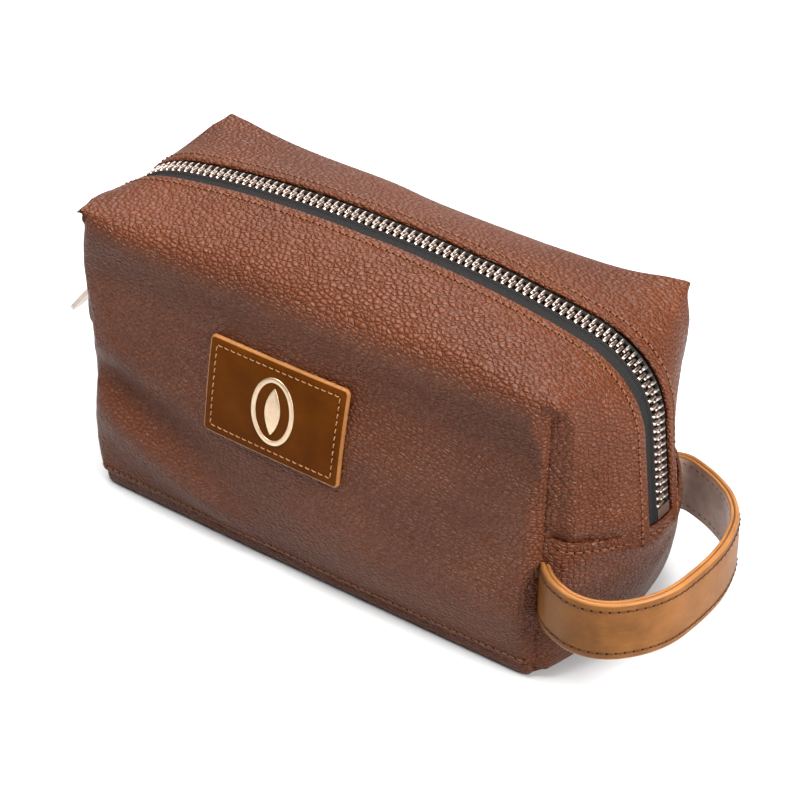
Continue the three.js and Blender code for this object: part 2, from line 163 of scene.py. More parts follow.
def turned(verts, faces, axis, sign):
    """The faces, turned over if they don't look along this axis."""
    looks = vertex_normals(verts, faces)[:, axis].mean()
    return faces if looks * sign > 0 else faces[:, ::-1]


def boundary_edges(faces):
    """Directed edges that only one face has."""
    edges = np.concatenate([faces[:, [k, (k + 1) % 4]] for k in range(4)])
    have = {(a, b) for a, b in edges.tolist()}
    return [(a, b) for a, b in edges.tolist() if (b, a) not in have]


def thicken(verts, faces, thickness, round_steps=3):
    """A closed slab: the surface, its inner copy, and half-round rims along the open edges."""
    thickness = np.broadcast_to(np.asarray(thickness, float), (len(verts),))
    normals = vertex_normals(verts, faces)
    inner = verts - normals * thickness[:, None]
    rims = boundary_edges(faces)
    outward = np.zeros_like(verts)
    for a, b in rims:
        sideways = unit(np.cross(verts[b] - verts[a], normals[a] + normals[b]))
        outward[a] += sideways
        outward[b] += sideways
    outward = unit(outward)
    count = len(verts)
    all_verts = [verts, inner]
    rim_index = {v: i for i, v in enumerate(sorted({v for edge in rims for v in edge}))}
    ids = np.array(sorted(rim_index, key=rim_index.get))
    rings = [{v: v for v in rim_index}]
    offset = 2 * count
    for step in range(1, round_steps + 1):
        angle = math.pi * step / (round_steps + 1)
        half = thickness[ids, None] / 2
        sunk = normals[ids] * half * (1 - math.cos(angle))
        ring = verts[ids] - sunk + outward[ids] * half * math.sin(angle)
        all_verts.append(ring)
        rings.append({v: offset + i for i, v in enumerate(ids.tolist())})
        offset += len(ids)
    rings.append({v: v + count for v in rim_index})
    rim_faces = [
        [near[b], near[a], far[a], far[b]]
        for near, far in zip(rings, rings[1:]) for a, b in rims
    ]
    return np.vstack(all_verts), np.vstack([faces, faces[:, ::-1] + count, np.array(rim_faces)])


def make_piece(name, verts, faces, material, slot, body=None):
    """A smooth-shaded mesh from millimetres, with its rest place kept for the materials."""
    mesh = bpy.data.meshes.new(name)
    mesh.from_pydata((np.asarray(verts) * MM).tolist(), [], [list(map(int, f)) for f in faces])
    mesh.validate()
    rest = mesh.attributes.new("rest_mm", "FLOAT_VECTOR", "POINT")
    rest.data.foreach_set("vector", np.asarray(verts, np.float32).ravel())
    mesh.polygons.foreach_set("use_smooth", [True] * len(mesh.polygons))
    mesh.materials.append(material)
    piece = bpy.data.objects.new(name, mesh)
    bpy.context.scene.collection.objects.link(piece)
    if body:
        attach(piece, body)
    return piece


def joined(parts):
    """Several (verts, faces) as one."""
    offset, verts, faces = 0, [], []
    for part_verts, part_faces in parts:
        verts.append(part_verts)
        faces.extend([[v + offset for v in face] for face in np.asarray(part_faces).tolist()])
        offset += len(part_verts)
    return np.vstack(verts), faces


# ------------------------------------------------------------------ materials
class Nodes:
    """Short ways to add and join shader nodes."""

    def __init__(self, name, on_cad=False):
        self.on_cad = on_cad
        self.material = bpy.data.materials.new(name)
        self.material.use_nodes = True
        self.tree = self.material.node_tree
        self.shader = self.tree.nodes["Principled BSDF"]

    def add(self, kind, values=(), **settings):
        """A node with its settings, and its inputs set or linked."""
        node = self.tree.nodes.new("ShaderNode" + kind)
        for key, value in settings.items():
            setattr(node, key, value)
        for socket, value in dict(values).items():
            if isinstance(value, bpy.types.NodeSocket):
                self.tree.links.new(value, node.inputs[socket])
            else:
                node.inputs[socket].default_value = value
        return node

    def rest(self, scale=(1, 1, 1)):
        """The place in the bag at rest, in millimetres times scale."""
        if self.on_cad:
            spot = self.add("TexCoord").outputs["Object"]
            scale = tuple(c / MM for c in scale)
        else:
            rest_place = self.add("Attribute", attribute_name="rest_mm", attribute_type="GEOMETRY")
            spot = rest_place.outputs["Vector"]
        return self.add("VectorMath", {0: spot, 1: scale}, operation="MULTIPLY").outputs[0]

    def math(self, operation, a, b=0.5):
        return self.add("Math", {0: a, 1: b}, operation=operation).outputs[0]

    def spread(self, value, low, high):
        """A value from 0 to 1, stretched to run from low to high."""
        return self.add("MapRange", {"Value": value, "To Min": low, "To Max": high}).outputs[0]

    def ramp(self, factor, *stops):
        """A colour ramp with stops of place and colour."""
        node = self.add("ValToRGB", {"Fac": factor})
        elements = node.color_ramp.elements
        while len(elements) < len(stops):
            elements.new(0.5)
        for element, (position, color) in zip(elements, stops):
            element.position = position
            element.color = (*color, 1)
        return node.outputs["Color"]

    def mix(self, factor, a, b, blend="MIX"):
        """Two colours, or links that carry them, mixed."""
        node = self.add("Mix", data_type="RGBA", blend_type=blend)
        for index, value in ((0, factor), (6, a), (7, b)):
            if isinstance(value, bpy.types.NodeSocket):
                self.tree.links.new(value, node.inputs[index])
            elif index == 0:
                node.inputs[0].default_value = value
            else:
                node.inputs[index].default_value = (*value, 1)
        return node.outputs[2]

    def noise(self, vector, scale, detail=3.0, roughness=0.5):
        values = {"Vector": vector, "Scale": scale, "Detail": detail, "Roughness": roughness}
        return self.add("TexNoise", values).outputs["Fac"]

    def voronoi(self, vector, scale, feature, randomness=1.0):
        values = {"Vector": vector, "Scale": scale, "Randomness": randomness}
        return self.add("TexVoronoi", values, feature=feature).outputs["Distance"]

    def bump(self, height, strength, distance_mm):
        values = {"Height": height, "Strength": strength, "Distance": distance_mm * MM}
        return self.add("Bump", values).outputs["Normal"]

    def finish(self, color, roughness, normal=None, **values):
        """Sets or links the shader's main inputs, sets the others, and gives the material."""
        for socket, value in (("Base Color", color), ("Roughness", roughness), ("Normal", normal)):
            if isinstance(value, bpy.types.NodeSocket):
                self.tree.links.new(value, self.shader.inputs[socket])
            elif value is not None:
                self.shader.inputs[socket].default_value = (*value, 1) if socket == "Base Color" else value
        for socket, value in values.items():
            self.shader.inputs[socket.replace("_", " ")].default_value = value
        return self.material


GRAIN_STRETCH = (0.8, 1.0, 1.25)         # the pebbles are a little longer along the bag
PEBBLE_SIZE = 1.95
PEBBLE_DEPTH = 0.62
PEBBLE_SPREAD = 0.85                     # 1 scatters the pebbles fully, 0 sets them in rows
CREASE_WIDTH = 0.24                      # share of a pebble
WANDER = 1.6
SHEEN_TINT = (1.0, 0.78, 0.68, 1.0)


def faded(color, share):
    """The colour, darkened to this share."""
    return tuple(c * share for c in color)


def pebbles(n, place):
    """Rounded pebbles: 1 on top and 0 in the creases between them, and the dome of each."""
    wander = n.add("TexNoise", {"Vector": place, "Scale": 0.12, "Detail": 1.0}).outputs["Color"]
    bent = n.add("VectorMath", {0: wander, 1: (WANDER,) * 3}, operation="MULTIPLY").outputs[0]
    place = n.add("VectorMath", {0: place, 1: bent}, operation="ADD").outputs[0]
    edge = n.voronoi(place, 1 / PEBBLE_SIZE, "DISTANCE_TO_EDGE", PEBBLE_SPREAD)
    middle = n.voronoi(place, 1 / PEBBLE_SIZE, "F1", PEBBLE_SPREAD)
    limits = {"Value": edge, "From Min": 0.0, "From Max": CREASE_WIDTH}
    top = n.add("MapRange", limits, interpolation_type="SMOOTHSTEP").outputs[0]
    return top, n.math("MULTIPLY", n.math("POWER", middle, 2.0), -0.9)


def pebbled_leather(name, dark, middle, light):
    """Soft cowhide: rounded pebbles parted by fine creases with painted shade in them, broad tone changes,
    small pores.
    """
    n = Nodes(name)
    place = n.rest(GRAIN_STRETCH)
    top, dome = pebbles(n, place)
    height = n.math("ADD", n.math("MULTIPLY", top, 0.6), dome)
    height = n.math("ADD", height, n.math("MULTIPLY", n.noise(place, 2.6, 2.0), 0.05))
    height = n.math("MULTIPLY", height, n.math("ADD", n.noise(place, 0.045, 2.0), 0.45))
    broad = n.ramp(n.noise(place, 0.022, 3.0, 0.55), (0.25, dark), (0.52, middle), (0.8, light))
    # Painted shade: the creases between the pebbles are darkened towards a dark brown.
    crease = n.math("MULTIPLY", n.math("SUBTRACT", 1.0, top), 0.35)
    color = n.mix(crease, broad, faded(dark, 0.45))
    spots = n.ramp(n.noise(place, 0.9, 2.0, 0.7), (0.3, (0.8, 0.78, 0.76)), (0.7, (1.12, 1.1, 1.08)))
    color = n.mix(0.4, color, spots, "MULTIPLY")
    rough = n.spread(n.noise(place, 0.3), 0.4, 0.5)
    normal = n.bump(height, 1.0, PEBBLE_DEPTH)
    return n.finish(color, rough, normal, Specular_IOR_Level=0.27, Specular_Tint=SHEEN_TINT)


def smooth_leather(name, dark, middle, light, rough_low, rough_high, shine=0.16):
    """Vegetable-tanned leather: close grain, oily tone changes, faint scratches."""
    n = Nodes(name)
    place = n.rest()
    broad = n.noise(place, 0.06, 4.0, 0.6)
    color = n.ramp(broad, (0.28, dark), (0.5, middle), (0.75, light))
    streak = n.noise(n.rest((0.25, 0.25, 2.2)), 0.5, 4.0, 0.6)
    streak = n.ramp(streak, (0.3, (0.72, 0.68, 0.62)), (0.7, (1.15, 1.12, 1.1)))
    color = n.mix(0.35, color, streak, "MULTIPLY")
    pores = n.voronoi(place, 1.9, "F1")
    grain = n.math("ADD", n.math("MULTIPLY", pores, 0.6), n.noise(place, 4.0, 3.0, 0.6))
    pore = n.math("MULTIPLY", n.math("LESS_THAN", pores, 0.17), 0.35)
    color = n.mix(pore, color, faded(dark, 0.5))
    rough = n.spread(n.noise(place, 0.5), rough_low, rough_high)
    return n.finish(color, rough, n.bump(grain, 0.35, 0.1), Specular_IOR_Level=shine)


def suede(name, dark, light):
    """Napped flesh side: matt, cloudy, with short fibres."""
    n = Nodes(name)
    place = n.rest()
    cloud = n.noise(place, 0.12, 4.0, 0.65)
    color = n.ramp(cloud, (0.3, dark), (0.7, light))
    fibre = n.noise(n.rest((1, 1, 2.5)), 2.4, 5.0, 0.75)
    shade = n.ramp(fibre, (0.3, (0.72, 0.7, 0.68)), (0.7, (1.2, 1.2, 1.2)))
    color = n.mix(0.5, color, shade, "MULTIPLY")
    return n.finish(color, 0.95, n.bump(fibre, 0.8, 0.25), Sheen_Weight=0.35, Sheen_Roughness=0.5,
                    Specular_IOR_Level=0.2)


def woven(name, dark, light, thread, depth):
    """Cloth of crossing threads, with a twill slant, and painted shade low between the threads."""
    n = Nodes(name)
    place = n.rest()
    x, y, z = n.add("SeparateXYZ", {"Vector": place}).outputs
    run = n.math("ADD", n.math("ADD", x, z), y)
    cross = n.math("SUBTRACT", n.math("ADD", y, n.math("MULTIPLY", z, 0.6)), n.math("MULTIPLY", x, 0.25))
    wave_a = n.math("SINE", n.math("MULTIPLY", run, 2 * math.pi / thread))
    wave_b = n.math("SINE", n.math("MULTIPLY", cross, 2 * math.pi / thread))
    weave = n.math("ADD", n.math("MULTIPLY", wave_a, 0.6), n.math("MULTIPLY", wave_b, 0.4))
    fuzz = n.noise(place, 2.5, 4.0, 0.7)
    height = n.math("ADD", weave, n.math("MULTIPLY", fuzz, 1.2))
    # Partly painted shade: the colour follows the weave's height, darker low between the threads and lighter
    # on their crests; the fuzz adds random tone.
    shade = n.add("MapRange", {"Value": height, "From Min": -0.6, "From Max": 1.6})
    color = n.ramp(shade.outputs[0], (0.1, dark), (0.9, light))
    return n.finish(color, 0.9, n.bump(height, 0.6, depth), Specular_IOR_Level=0.12)


def metal(name, color, low, high, on_cad=False):
    """Plated metal: bright, with fine scratches and slightly duller patches."""
    n = Nodes(name, on_cad)
    place = n.rest()
    tone = n.ramp(n.noise(place, 0.25, 4.0, 0.6), (0.3, faded(color, 0.82)), (0.7, color))
    wear = n.noise(n.rest((0.6, 3.0, 0.6)), 3.0, 4.0, 0.6)
    return n.finish(tone, n.spread(wear, low, high), n.bump(wear, 0.25, 0.04), Metallic=1.0)


def thread_material(name, dark, light):
    """Twisted sewing thread."""
    n = Nodes(name)
    place = n.rest()
    twist = n.noise(place, 3.2, 2.0)
    color = n.ramp(twist, (0.3, dark), (0.7, light))
    return n.finish(color, 0.85, n.bump(twist, 0.5, 0.1), Specular_IOR_Level=0.05)


BROWN_DARK = (0.054, 0.0112, 0.0023)
BROWN = (0.077, 0.0182, 0.0047)
BROWN_LIGHT = (0.103, 0.0270, 0.0085)
NICKEL = (0.47, 0.375, 0.325)
COWHIDE = pebbled_leather("brown_cowhide", BROWN_DARK, BROWN, BROWN_LIGHT)
STRAP_TAN = smooth_leather("strap_tan_leather", (0.092, 0.036, 0.008), (0.132, 0.052, 0.0125),
                           (0.172, 0.070, 0.019), 0.34, 0.5, 0.1)
PATCH_TAN = smooth_leather("patch_leather", (0.050, 0.0120, 0.0003), (0.067, 0.0170, 0.0004),
                           (0.084, 0.023, 0.0009), 0.5, 0.6, 0.03)
BURNISHED = smooth_leather("burnished_edge", (0.17, 0.068, 0.017), (0.235, 0.095, 0.026),
                           (0.29, 0.122, 0.036), 0.28, 0.4)
STRAP_SUEDE = suede("strap_suede", (0.30, 0.19, 0.145), (0.48, 0.33, 0.265))
TAPE_BLACK = woven("zip_tape_weave", (0.002, 0.002, 0.002), (0.020, 0.019, 0.018), 0.9, 0.35)
LINING_CLOTH = woven("lining_twill", (0.12, 0.09, 0.06), (0.26, 0.2, 0.145), 0.7, 0.1)
ZIP_METAL = metal("zip_pale_nickel", NICKEL, 0.2, 0.4)
EMBLEM_METAL = metal("emblem_pale_metal", (0.66, 0.50, 0.34), 0.3, 0.45)
THREAD_BROWN = thread_material("thread_brown", (0.08, 0.029, 0.013), (0.20, 0.088, 0.045))
THREAD_TAN = thread_material("thread_tan", (0.15, 0.062, 0.022), (0.36, 0.18, 0.08))
THREAD_DARK = thread_material("thread_dark", (0.03, 0.011, 0.007), (0.11, 0.045, 0.026))
# Needle holes: near-black colour as painted shade in the holes.
HOLE_PAINTED_SHADE = thread_material("needle_hole", (0.006, 0.003, 0.002), (0.015, 0.007, 0.004))
BOARD = woven("fibre_board", (0.2, 0.19, 0.17), (0.32, 0.3, 0.27), 1.6, 0.05)
CAD_METAL = metal("fitting_pale_nickel", NICKEL, 0.2, 0.4, on_cad=True)


# ------------------------------------------------------------------ camera
TARGET = Vector((9.7, 0.0, 63.2)) * MM
CAMERA_AT = Vector((547.4, -784.1, 732.5)) * MM
CAMERA_LENS = 132.3
CAMERA_ROLL = math.radians(1.24)


def make_camera():
    """The camera looks at the bag from its front right, from above."""
    data = bpy.data.cameras.new("camera")
    data.lens = CAMERA_LENS
    data.sensor_width = 36
    camera = bpy.data.objects.new("camera", data)
    bpy.context.scene.collection.objects.link(camera)
    camera.location = CAMERA_AT
    facing = (TARGET - CAMERA_AT).to_track_quat("-Z", "Y")
    camera.rotation_mode = "QUATERNION"
    camera.rotation_quaternion = facing @ Matrix.Rotation(CAMERA_ROLL, 3, "Z").to_quaternion()
    bpy.context.scene.camera = camera


# ------------------------------------------------------------------ the zip's line
RUN_HEIGHT = 45                  # the straight run up each end, above the end panel
RUN_LEAN = 5.5                   # and how far in its top stands
ZIP_TAIL = 5                     # the zip starts this far below the end panel's top edge
ARCH_TOP = 142
ARCH = [
    (END_X - RUN_LEAN, SEAM_Z + RUN_HEIGHT), (END_X - 10.5, 117.5), (END_X - 21, 127.5),
    (END_X - 37, 133.8), (60, 139.2), (25, 141.6),
]


def zip_line():
    """x, z along the zip from its right bottom end, over the top, to its left bottom end."""
    foot = np.array([END_X + 0.6, SEAM_Z - ZIP_TAIL])
    arch = catmull([*ARCH, (0, ARCH_TOP), *[(-x, z) for x, z in reversed(ARCH)]])
    line = np.vstack([[foot], arch, foot * [-1, 1]])
    return along(line, np.linspace(0, arc_length(line)[-1], 900))


ZIP = zip_line()
ZIP_LENGTH = arc_length(ZIP)
ZIP_IN = np.gradient(ZIP, axis=0)
ZIP_IN = unit(np.stack([-ZIP_IN[:, 1], ZIP_IN[:, 0]], axis=1))


def zip_at(distance, depth=0.0):
    """x, z on the zip's line at this distance, moved inwards by depth."""
    x, z = (np.interp(distance, ZIP_LENGTH, ZIP[:, k]) for k in (0, 1))
    nx, nz = (np.interp(distance, ZIP_LENGTH, ZIP_IN[:, k]) for k in (0, 1))
    return x + nx * depth, z + nz * depth


def zip_distance(x):
    """Distance along the zip where its top passes x."""
    top = np.abs(ZIP[:, 0]) <= END_X - 6
    return np.interp(-np.asarray(x), -ZIP[top, 0], ZIP_LENGTH[top])


# ------------------------------------------------------------------ leather halves
EAR_LEVEL = 129.0                # ear height that the shoulder lines were drawn for
EAR_ZIP_X = 114.0                # where the fold from the corner meets the zip
WALL_LOW = 6.0                   # bottom edge of front and rear panels
SEAM_ROLL = 3.8                  # radius of the rolled corner seams
WING_ROWS = np.concatenate([
    np.linspace(SLOT_HALF, 13, 5), np.linspace(14.4, 41, 19), np.linspace(42.2, CORNER_Y, 10),
])
HEM_STITCH_ROW = 4               # the row 3 mm from the slot's edge
WALL_STEPS = np.concatenate([np.linspace(0, 0.93, 70)[1:], np.linspace(0.94, 1, 9)])
EDGE_FINE = np.array([0, 0.5, 1.0, 1.6, 2.2, 3.0, 3.9, 5.0, 6.3, 7.8, 9.4])
COLUMN_X = np.concatenate([
    CORNER_X - EDGE_FINE, np.linspace(CORNER_X - 11, -CORNER_X + 11, 118), -CORNER_X + EDGE_FINE[::-1],
])
WING_SLANT = 1.25                # distance on a wing per millimetre of depth
NOWHERE_NEAR = 1e3
SEAM_COLUMNS = 10                # columns of wall and end that are drawn to the seam's line
WING_SEAM_ROWS = 12
EAR_WELD = 4                     # rows below each top corner that are one piece, without a seam
SHOULDER_WIDTH = {-1: 8.0, 1: 5.0}   # softness of the edge between top and wall, at mid length


def dome(y):
    """1 at the slot's edge, 0 at the corner, with the bulge of top and ends."""
    top = 1 - (SLOT_HALF / CORNER_Y) ** BULGE_POWER
    return (1 - np.minimum(np.abs(y) / CORNER_Y, 1) ** BULGE_POWER) / top


def corner_line(side, end, z):
    """How far the sewn corner of this side and end stands from the middle plane at height z."""
    height = z / EAR_Z
    if side < 0 and end > 0:
        return CORNER_Y + 2.0 * (1 - height)
    if side < 0:
        return CORNER_Y - 3.5 * np.sin(np.pi * np.clip(height, 0, 1)) ** 2
    if end > 0:
        pinch = 12.5 * hump(z, 84, 24)
        return CORNER_Y - pinch + 1.5 * (1 - height)
    return CORNER_Y - 5.0 * hump(z, 80, 30)


def wall_swell(side, x, z):
    """How far the wall swells out past the line between its two corners."""
    across = 1 - np.abs(x / CORNER_X) ** 2.6
    if side < 0:
        up = np.sin(np.pi * np.clip(z / 100, 0, 1)) ** 1.1
        lean = -2.5 * smoothstep(92, 129, z)
        return across * (6.0 * up + lean) + soft_folds(x, z)
    up = np.sin(np.pi * np.clip(z / 125, 0, 1))
    return across * (3.5 * up - 2.0 * smoothstep(95, 129, z))


def soft_folds(x, z):
    """The front's slack leather: a valley from the left corner, and a ridge that runs down below it."""
    from_left = (x + CORNER_X) / (2 * CORNER_X)
    held = smoothstep(-0.01, 0.09, from_left) * smoothstep(0, 0.04, 1 - from_left) * smoothstep(2, 14, z)
    fade = 1 - smoothstep(0.2, 0.46, from_left)
    drop = z - 58 + 66 * from_left
    folds = fade * (3.6 * hump(drop, 14, 9) - 5.2 * hump(drop, 0, 6.5) + 5.0 * hump(drop, -17, 9))
    swell = 3.0 * hump(z, 30, 13) * smoothstep(0.25, 0.5, from_left)
    dip = -2.2 * hump(x, 38, 30) * hump(z, 92, 14)
    brow = 2.4 * hump(z, 121, 9) - 2.6 * hump(z, 100, 9)
    return held * (folds + swell + dip + brow)


SHOULDER = {
    -1: [(-110, 132.5), (-95, 130), (-50, 129), (0, 128.5), (60, 128.8), (95, 129.5), (110, 131)],
    1: [(-110, 134.5), (-95, 133), (-60, 131.5), (-24, 131.5), (0, 129.5), (47, 129.5), (80, 131.5),
        (98, 134), (110, 136)],
}


def shoulder(side, x):
    """Height of the line between the top corners, before its edge is rounded."""
    line = catmull(SHOULDER[side])
    return np.interp(x, line[:, 0], line[:, 1]) + EAR_Z - EAR_LEVEL


def lean_out(side, verts):
    """The front left corner leans outwards at the top; the rear right one is pressed in."""
    x, y, z = verts.T
    if side < 0:
        reach = smoothstep(0.72, 1.0, -x / CORNER_X)
        reach = reach * smoothstep(8, 30, -y)
        out = 2.4 * smoothstep(4, 30, z) + smoothstep(56, 100, z) + 2.6 * hump(z, 98, 20)
        return np.stack([-reach * out, 0 * x, 0 * x], 1)
    reach = smoothstep(0.95, 1.06, x / CORNER_X) * smoothstep(12, 34, y)
    dent = hump(z, 80, 24)
    return np.stack([-5.5 * reach * dent, -1.5 * reach * dent, 0 * x], 1)


def slide_hem(side, verts):
    """Moves the hem to one side of the zip's middle."""
    near_slot = 1 - smoothstep(SLOT_HALF + 4, 36, np.abs(verts[:, 1]))
    verts[:, 1] += side * HEM_SHIFT[side] * near_slot


def wall_point(side, x, z):
    """y of the front or rear wall at this x and height."""
    share = (x + CORNER_X) / (2 * CORNER_X)
    flat = (1 - share) * corner_line(side, -1, z) + share * corner_line(side, 1, z)
    return side * (flat + wall_swell(side, x, z))


def top_columns(side):
    """A column of points for each x: out from the slot over the top, then down the wall."""
    inner_x = np.interp(COLUMN_X, [-CORNER_X, -97, 97, CORNER_X], [-EAR_ZIP_X, -97, 97, EAR_ZIP_X])
    zip_x, zip_z = zip_at(zip_distance(inner_x))
    bulge = dome(WING_ROWS)
    columns = []
    for x, x_in, z_in in zip(COLUMN_X, zip_x, zip_z):
        top_z = shoulder(side, x)
        share = abs(wall_point(side, x, top_z)) / CORNER_Y
        y = WING_ROWS * share + SLOT_HALF * (1 - share) * (1 - WING_ROWS / CORNER_Y)
        flap = np.stack([x + (x_in - x) * bulge, side * y, top_z + (z_in - top_z) * bulge], axis=1)
        wall_z = top_z + (WALL_LOW - top_z) * WALL_STEPS
        wall = np.stack([np.full_like(wall_z, x), wall_point(side, x, wall_z), wall_z], axis=1)
        columns.append(round_shoulder(np.vstack([flap, wall]), x, SHOULDER_WIDTH[side]))
    return np.stack(columns)


def wing_grid(side, end):
    """A row of points for each height of a wing, from the zip out to the corner seam."""
    start = zip_distance(end * EAR_ZIP_X)
    stop = ZIP_LENGTH[-1] if end < 0 else 0.0
    ear = shoulder(side, end * CORNER_X)
    seam_z = ear + (WALL_LOW - ear) * WALL_STEPS
    seam_z = seam_z[seam_z > SEAM_Z - ZIP_TAIL]
    share = (ear - seam_z) / (ear - seam_z[-1])
    zip_x, zip_z = zip_at(start + (stop - start) * share)
    bulge = dome(WING_ROWS)
    corner = end * CORNER_X
    wing = []
    for x_in, z_in, z_out in zip(zip_x, zip_z, seam_z):
        edge_y = corner_line(side, end, z_out)
        y = SLOT_HALF + (WING_ROWS - SLOT_HALF) * (edge_y - SLOT_HALF) / (CORNER_Y - SLOT_HALF)
        x = corner + (x_in - corner) * bulge
        wing.append(np.stack([x, side * y, z_out + (z_in - z_out) * bulge], axis=1))
    return np.stack(wing)


def half_grid(side):
    """Points, faces and vertex numbers of one half: its top and wall, and its two wings."""
    rows = len(WING_ROWS)
    top_verts, top_index = numbered(top_columns(side))
    verts, faces, wing_index = [top_verts], [grid_faces(top_index)], []
    count = len(top_verts)
    for end in (1, -1):
        wing_verts, index = numbered(wing_grid(side, end))
        shared = top_index[0 if end > 0 else -1]
        full = np.vstack([shared[None, :rows], index + count])
        full[1:EAR_WELD + 1, -1] = shared[rows:rows + EAR_WELD]
        count += len(wing_verts)
        verts.append(wing_verts)
        faces.append(grid_faces(full if end < 0 else full[::-1]))
        wing_index.append(full)
    faces = np.vstack(faces)
    if side > 0:
        faces = faces[:, ::-1]
    return compact(np.vstack(verts), faces, top_index, wing_index)


def compact(verts, faces, top_index, wing_index):
    """Leaves out the points that no face uses."""
    used = np.unique(faces)
    renumber = np.full(len(verts), -1)
    renumber[used] = np.arange(len(used))
    return verts[used], renumber[faces], renumber[top_index], [renumber[full] for full in wing_index]


def round_shoulder(column, x, broad):
    """Softens the edge between top and wall: broad at mid length, tight at the corners."""
    width = 1.2 + broad * (1 - abs(x / CORNER_X) ** 4)
    length = arc_length(column)
    weight = np.exp(-0.5 * ((length[:, None] - length[None]) / width) ** 2) * np.gradient(length)
    weight /= weight.sum(axis=1, keepdims=True)
    soft = weight @ column
    reach = 4 + 2 * width
    free = smoothstep(4, reach, length) * smoothstep(4, reach, length[-1] - length)
    return column + (soft - column) * free[:, None]


def roll_depth(distance, radius):
    """How far a rolled edge sinks at this distance from the seam."""
    d = np.clip(distance, 0, radius)
    return radius - np.sqrt(np.maximum(radius**2 - (radius - d) ** 2, 0))


def seam_places(side, verts, top_index, wing_index):
    """Which points are in the wall and in a wing, how far each is from its corner seam, how shut that is."""
    x, y, z = verts.T
    in_wall = np.zeros(len(verts), bool)
    in_wall[top_index[:, len(WING_ROWS):]] = True
    in_wing = np.zeros(len(verts), bool)
    for full in wing_index:
        in_wing[full[1:]] = True
    ear = np.where(x > 0, shoulder(side, CORNER_X), shoulder(side, -CORNER_X))
    closed = 1 - smoothstep(ear - 10, ear - 3, z)
    edge = np.where(x > 0, corner_line(side, 1, z), corner_line(side, -1, z))
    to_seam = np.where(in_wall, CORNER_X - np.abs(x), NOWHERE_NEAR)
    to_seam = np.where(in_wing, (edge - np.abs(y)) * WING_SLANT, to_seam)
    return in_wall, in_wing, to_seam, closed, ear


def seam_shift(side, verts, in_wall, in_wing, to_seam, closed):
    """Draws the leather sideways into its corner seams. The front wall laps over the left one."""
    x, y, _ = verts.T
    drawn = closed * SEAM_ROLL * (1 - smoothstep(0, 12, to_seam))
    along_x = np.where(in_wall, -np.sign(x) * drawn, 0)
    along_y = np.where(in_wing & ~in_wall, -np.sign(y) * drawn, 0)
    laps = (side < 0) & (x < 0) & in_wall
    along_x -= 3.2 * laps * closed * hump(to_seam, 3, 9)
    return np.stack([along_x, along_y, 0 * x], axis=1)


def seam_push(unseen, verts, in_wall, in_wing, to_seam, closed, ear):
    """Rolled seams, tucks under the ears, and gathers that run away from the seams."""
    z = verts[:, 2]
    push = -closed * roll_depth(to_seam * np.where(in_wall, 0.42, 0.7), SEAM_ROLL)
    push += closed * np.where(in_wall, 0.2, 0.9) * hump(to_seam, 8.0, 5.0)
    push -= 0.8 * hump(z, ear - 7, 5) * hump(to_seam, 0, 7)
    push -= 2.2 * unseen * closed * hump(to_seam, 0, 30)
    gather = noise(verts, (26, 26, 5.5), 1) + 0.5 * noise(verts, (16, 16, 3), 2)
    near = hump(to_seam, 0, 13) * (to_seam > 0)
    return push + np.where(in_wing & ~unseen, 0.75, 0.3) * gather * near * closed


def wing_foot(verts):
    """The foot of a wing is pressed in behind the end panel's top edge and puffs out above it."""
    _, y, z = verts.T
    over = z - end_top(np.abs(y) / CORNER_Y)
    folds = 0.6 * hump(z, SEAM_Z, 16) * noise(verts, (30, 18, 5), 3)
    return folds - 2.4 * (1 - smoothstep(-1, 6, over)) + 0.9 * hump(over, 11, 5)


def slack(verts):
    """Slow swells, smaller bumps and a few sharp creases."""
    swells = 1.1 * noise(verts, (95, 95, 60), 4) + 0.45 * noise(verts, (34, 34, 26), 5)
    creases = np.maximum(noise(verts, (22, 22, 7), 6), 0) ** 2
    return swells - 0.28 * creases * smoothstep(0, 0.6, noise(verts, (60, 60, 60), 7))


def sew_half(side, verts, faces, top_index, wing_index):
    """Rolls the corner seams inwards and adds puffs, gathers and soft dents."""
    x, y, z = verts.T
    in_wall, in_wing, to_seam, closed, ear = seam_places(side, verts, top_index, wing_index)
    unseen = (side < 0) & (x < 0) & in_wing
    push = seam_push(unseen, verts, in_wall, in_wing, to_seam, closed, ear)
    push += np.where(in_wing, wing_foot(verts), 0) + slack(verts)
    push[np.abs(y) < SLOT_HALF + 1.5] *= 0.15
    push *= np.where(in_wall, 1, smoothstep(SLOT_HALF, SLOT_HALF + 14, np.abs(y)))
    push *= np.where(in_wall, 0.25 + 0.75 * smoothstep(WALL_LOW, WALL_LOW + 14, z), 1)
    under = np.where(in_wall, roll_depth(z - WALL_LOW, 3.0) * 0.9, 0)
    shift = seam_shift(side, verts, in_wall, in_wing, to_seam, closed)
    return verts + shift + vertex_normals(verts, faces) * (push - under)[:, None]


def close_strip(side, end, verts, strip, closed_below):
    """Brings a strip's edge, its first row, to the line where the corner's two seams meet."""
    edge = verts[strip[0]]
    z = edge[:, 2]
    line_x = np.full_like(z, end * (CORNER_X - SEAM_ROLL))
    line = np.stack([line_x, side * (corner_line(side, end, z) - SEAM_ROLL), z], axis=1)
    closed = 1 - smoothstep(closed_below - 10, closed_below - 3, z)
    away = np.linalg.norm(verts[strip] - edge[None], axis=2)
    verts[strip] += ((line - edge) * closed[:, None])[None] * hump(away, 0, 2.4)[..., None]


def close_seams(side, verts, top_index, wing_index):
    """Both edges of each corner seam end on one line."""
    rows = len(WING_ROWS)
    for end, columns, full in ((1, top_index, wing_index[0]), (-1, top_index[::-1], wing_index[1])):
        ear = shoulder(side, end * CORNER_X)
        close_strip(side, end, verts, columns[:SEAM_COLUMNS, rows:], ear)
        close_strip(side, end, verts, full[1 + EAR_WELD:, ::-1].T[:WING_SEAM_ROWS], ear)


